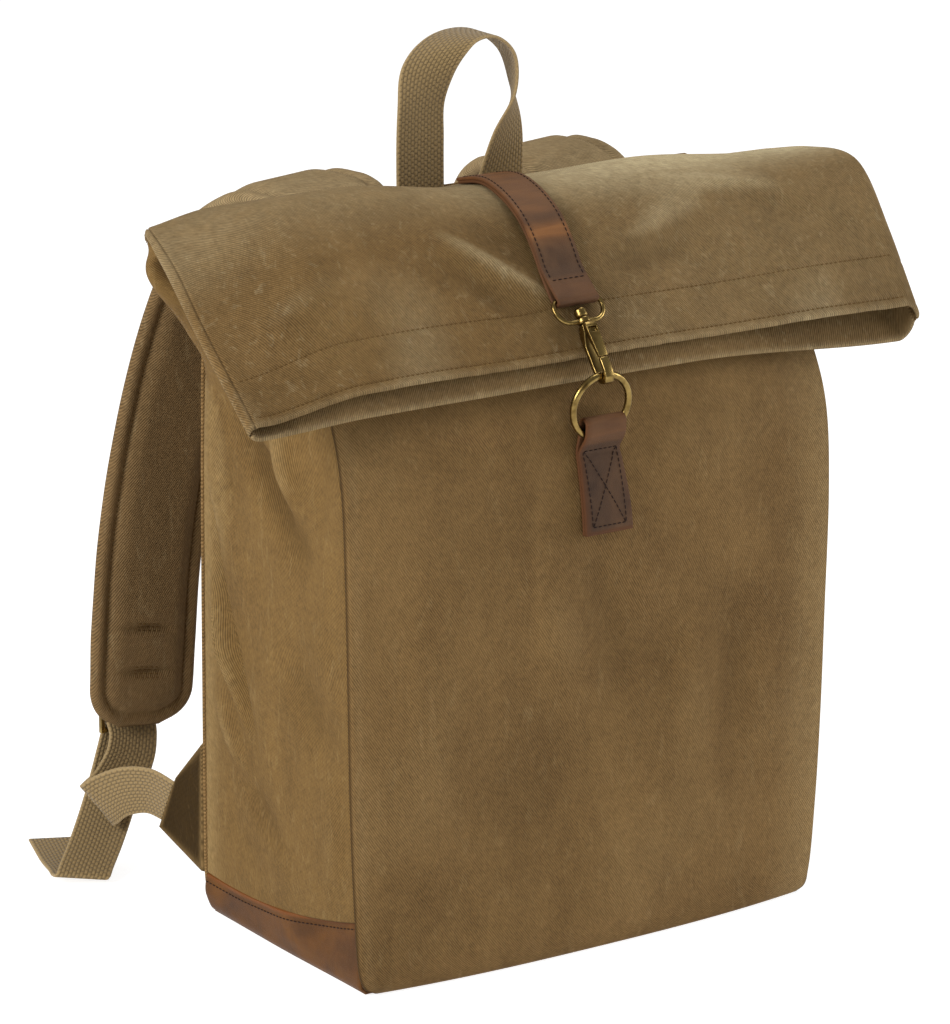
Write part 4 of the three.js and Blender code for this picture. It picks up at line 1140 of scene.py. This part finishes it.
def extrude(move):
    bpy.ops.mesh.extrude_region_move(TRANSFORM_OT_translate={"value": metres(move)})


def turn_round(centre, axis, degrees, steps):
    angle = -math.radians(degrees)
    bpy.ops.mesh.spin(steps=steps, angle=angle, center=metres(centre), axis=tuple(axis), use_auto_merge=True)


def wire_start(start, wire):
    turn = (0, math.radians(90), 0)
    add = bpy.ops.mesh.primitive_circle_add
    edit_new(add, vertices=14, radius=wire * MM, location=metres(start), rotation=turn)


def draw_outline(spots):
    """A chain of edges through the spots, drawn from one vertex."""
    edit_new(bpy.ops.mesh.primitive_plane_add, size=2 * MM, location=metres(spots[0]))
    bpy.ops.mesh.merge(type="CENTER")
    for first, then in zip(spots[:-1], spots[1:]):
        extrude(then - first)
    bpy.ops.mesh.select_all(action="SELECT")


def select_faces(wanted):
    """Selects the faces whose middle, in millimetres, is wanted."""
    piece = bpy.context.edit_object
    bpy.ops.mesh.select_all(action="DESELECT")
    work = bmesh.from_edit_mesh(piece.data)
    for face in work.faces:
        middle = np.array(piece.matrix_world @ face.calc_center_median()) / MM
        if wanted(middle):
            face.select_set(True)
    bmesh.update_edit_mesh(piece.data)


def finish_brass(name, body, bevel, *nodes):
    """Leaves edit mode with the place in the mesh, rounds the edges and says what the piece stands for."""
    bpy.ops.mesh.select_all(action="SELECT")
    bpy.ops.mesh.remove_doubles(threshold=0.00001)
    bpy.ops.mesh.normals_make_consistent(inside=False)
    bpy.ops.object.mode_set(mode="OBJECT")
    bpy.ops.object.transform_apply(location=True, rotation=True, scale=True)
    piece = bpy.context.active_object
    piece.name = name
    if bevel:
        rounding = piece.modifiers.new("rounding", "BEVEL")
        rounding.width = bevel * MM
        rounding.segments = 3
        rounding.limit_method = "ANGLE"
        rounding.angle_limit = math.radians(28)
        bpy.ops.object.modifier_apply(modifier=rounding.name)
    bpy.ops.object.shade_smooth_by_angle(angle=math.radians(50))
    dress(piece, body, "antique_brass", BRASS, *nodes)


def ring_wire():
    up = np.array((0, -math.sin(RING_LEAN), math.cos(RING_LEAN)))
    axis = np.array((0, math.cos(RING_LEAN), math.sin(RING_LEAN)))
    wire_start(RING_CENTRE + up * RING_RADIUS, RING_WIRE)
    turn_round(RING_CENTRE, axis, 360, 60)
    finish_brass("ring_wire", "bag", 0, "ring")


def clasp_wire():
    """The wire loop: round corners, small at the strap and wide at the hook."""
    low, high = LOOP_BOTTOM - LOOP_FOOT_BEND, LOOP_TOP + LOOP_HEAD_BEND
    foot, head = LOOP_HALF - LOOP_FOOT_BEND, LOOP_HALF - LOOP_HEAD_BEND
    wire_start(on_clasp(0, LOOP_TOP), LOOP_WIRE)
    extrude((head, 0, 0))
    turn_round(on_clasp(0, high, head), -CLASP_OUT, 90, 10)
    extrude(CLASP_DOWN * (low - high))
    turn_round(on_clasp(0, low, foot), -CLASP_OUT, 90, 14)
    extrude((-2 * foot, 0, 0))
    turn_round(on_clasp(0, low, -foot), -CLASP_OUT, 90, 14)
    extrude(CLASP_DOWN * (high - low))
    turn_round(on_clasp(0, high, -head), -CLASP_OUT, 90, 10)
    extrude((head, 0, 0))
    finish_brass("clasp_wire", "bag", 0, "clasp_loop")


def turned_pin(name, profile):
    """A round piece on the clasp's middle line, spun from its profile."""
    draw_outline([on_clasp(radius, down) for radius, down in profile])
    turn_round(CLASP_TOP, CLASP_DOWN, 360, 28)
    finish_brass(name, "bag", 0.25)


def hook_jaw():
    """The hook's block, back bar, bend and nose: one outline, filled and thickened."""
    draw_outline([on_clasp(out, down, -JAW_HALF) for out, down in JAW])
    bpy.ops.mesh.edge_face_add()
    extrude((2 * JAW_HALF, 0, 0))
    finish_brass("hook_jaw", "bag", 0.7, "hook_body")


def gate_lever():
    """The sprung lever: drawn out along the clasp from a plate, wide at its pivot, with a thumb slot."""
    lean = (math.atan2(CLASP_OUT[2], CLASP_OUT[1]), 0, 0)
    add = bpy.ops.mesh.primitive_plane_add
    spot, wide, thick = None, 1, 2
    for down, back, front, half in LEVER:
        middle = on_clasp((back + front) / 2, down)
        if spot is None:
            edit_new(add, size=2 * MM, location=metres(middle), rotation=lean)
        else:
            extrude(middle - spot)
        grow = (half / wide, (front - back) / thick, (front - back) / thick)
        bpy.ops.transform.resize(value=grow, center_override=metres(middle))
        spot, wide, thick = middle, half, front - back
    front, top, bottom = LEVER_SLOT

    def on_slot(at):
        from_top = at - CLASP_TOP
        return from_top @ CLASP_OUT > front and top < from_top @ CLASP_DOWN < bottom

    select_faces(on_slot)
    bpy.ops.mesh.inset(thickness=SLOT_RIM * MM)
    extrude(-CLASP_OUT * SLOT_DEEP)
    finish_brass("gate_lever", "gate", 0.45, "hook_gate")


def slider_frame(way, name, node):
    """A flat frame of three bars: a plate cut into strips, its windows taken out, then thickened."""
    x, y, thick = -way * SLIDER["x"], SLIDER["y"], SLIDER["thick"]
    top, bottom, half, bar = (SLIDER[key] for key in ("top", "bottom", "half", "bar"))
    front = metres((x, y - thick / 2, (top + bottom) / 2))
    upright = (math.radians(90), 0, 0)
    edit_new(bpy.ops.mesh.primitive_plane_add, size=2 * MM, location=front, rotation=upright)
    bpy.ops.transform.resize(value=(half, 1, (top - bottom) / 2), center_override=front)
    cuts = [((x - half + bar, y, 0), (1, 0, 0)), ((x + half - bar, y, 0), (1, 0, 0))]
    cuts += [((x, y, z), (0, 0, 1)) for z in (bottom + bar, *SLIDER_MIDDLE, top - bar)]
    for spot, across in cuts:
        bpy.ops.mesh.select_all(action="SELECT")
        bpy.ops.mesh.bisect(plane_co=metres(spot), plane_no=across)
    windows = ((bottom + bar, SLIDER_MIDDLE[0]), (SLIDER_MIDDLE[1], top - bar))

    def in_window(at):
        return abs(at[0] - x) < half - bar and any(low < at[2] < high for low, high in windows)

    select_faces(in_window)
    bpy.ops.mesh.delete(type="FACE")
    bpy.ops.mesh.select_all(action="SELECT")
    extrude((0, thick, 0))
    finish_brass(name, "bag", 0.5, node)


front_canvas()
back_canvas()
base_leather()
outer_points = roll_outer()
inner_points = roll_inner()
roll_end("roll_end_left", outer_points[:, ::-1], inner_points, False)
roll_end("roll_end_right", outer_points, inner_points[:, ::-1], True)
closing_strap()
ring_tab()
web_strap("handle_web", HANDLE, "carry_handle")
for way, label in SIDES:
    side_canvas(way, f"side_canvas_{label}", f"gusset_{label}")
    shoulder_pad(way, f"padded_strap_{label}", f"shoulder_pad_{label}")
    adjuster = mirrored(ADJUSTER, 0, 4, 5) if way > 0 else ADJUSTER
    web_strap(f"adjuster_band_{label}", adjuster, f"adjuster_web_{label}")
    strap_wing(way, f"wing_canvas_{label}", f"strap_wing_{label}")
    slider_keeper(way, f"keeper_band_{label}", f"slider_loop_{label}")

ring_wire()
clasp_wire()
turned_pin("hook_swivel", SWIVEL)
turned_pin("hook_collar", COLLAR)
hook_jaw()
gate_lever()
for way, label in SIDES:
    slider_frame(way, f"slider_frame_{label}", f"slider_{label}")


# The studio.
def studio():
    bpy.ops.object.select_all(action="DESELECT")
    bpy.ops.mesh.primitive_plane_add(size=24, location=(0, 0, -0.0005))
    floor = bpy.context.active_object
    floor.name = "studio_floor"
    material, tree, shader = new_material("pale_floor")
    grey, white = (0.4, 0.4, 0.4, 1), (1, 1, 1, 1)
    feed(tree, shader, {
        "Base Color": grey, "Roughness": 0.9, "Emission Color": white, "Emission Strength": 0.86,
    })
    floor.data.materials.append(material)
    world = bpy.data.worlds.new("studio_world")
    bpy.context.scene.world = world
    world.use_nodes = True
    sky = world.node_tree.nodes["Background"].inputs
    feed(world.node_tree, sky, {"Color": white, "Strength": 0.28})
    for name, spot, size, power in LAMPS:
        data = bpy.data.lights.new(name, "AREA")
        data.size = size
        data.energy = power
        lamp = bpy.data.objects.new(name, data)
        lamp.location = spot
        lamp.rotation_euler = (Vector((0, 0, 0.2)) - Vector(spot)).to_track_quat("-Z", "Y").to_euler()
        bpy.context.scene.collection.objects.link(lamp)


def photo_camera():
    turn, tilt = math.radians(CAMERA["turn"]), math.radians(CAMERA["tilt"])
    back = Vector((math.sin(turn) * math.cos(tilt), -math.cos(turn) * math.cos(tilt), math.sin(tilt)))
    right = Vector((math.cos(turn), math.sin(turn), 0))
    up = back.cross(right)
    data = bpy.data.cameras.new("photo_camera")
    data.lens = CAMERA["lens"]
    data.sensor_width = CAMERA["sensor"]
    camera = bpy.data.objects.new("photo_camera", data)
    camera.location = Vector((0, 0, CAMERA["height"])) + back * CAMERA["distance"]
    aside, above = PHOTO_AIM
    look = right * aside / PHOTO_FOCUS - up * above / PHOTO_FOCUS - back
    camera.rotation_euler = look.to_track_quat("-Z", "Y").to_euler()
    bpy.context.scene.collection.objects.link(camera)
    bpy.context.scene.camera = camera


studio()
photo_camera()
bpy.context.scene.view_settings.view_transform = "Standard"
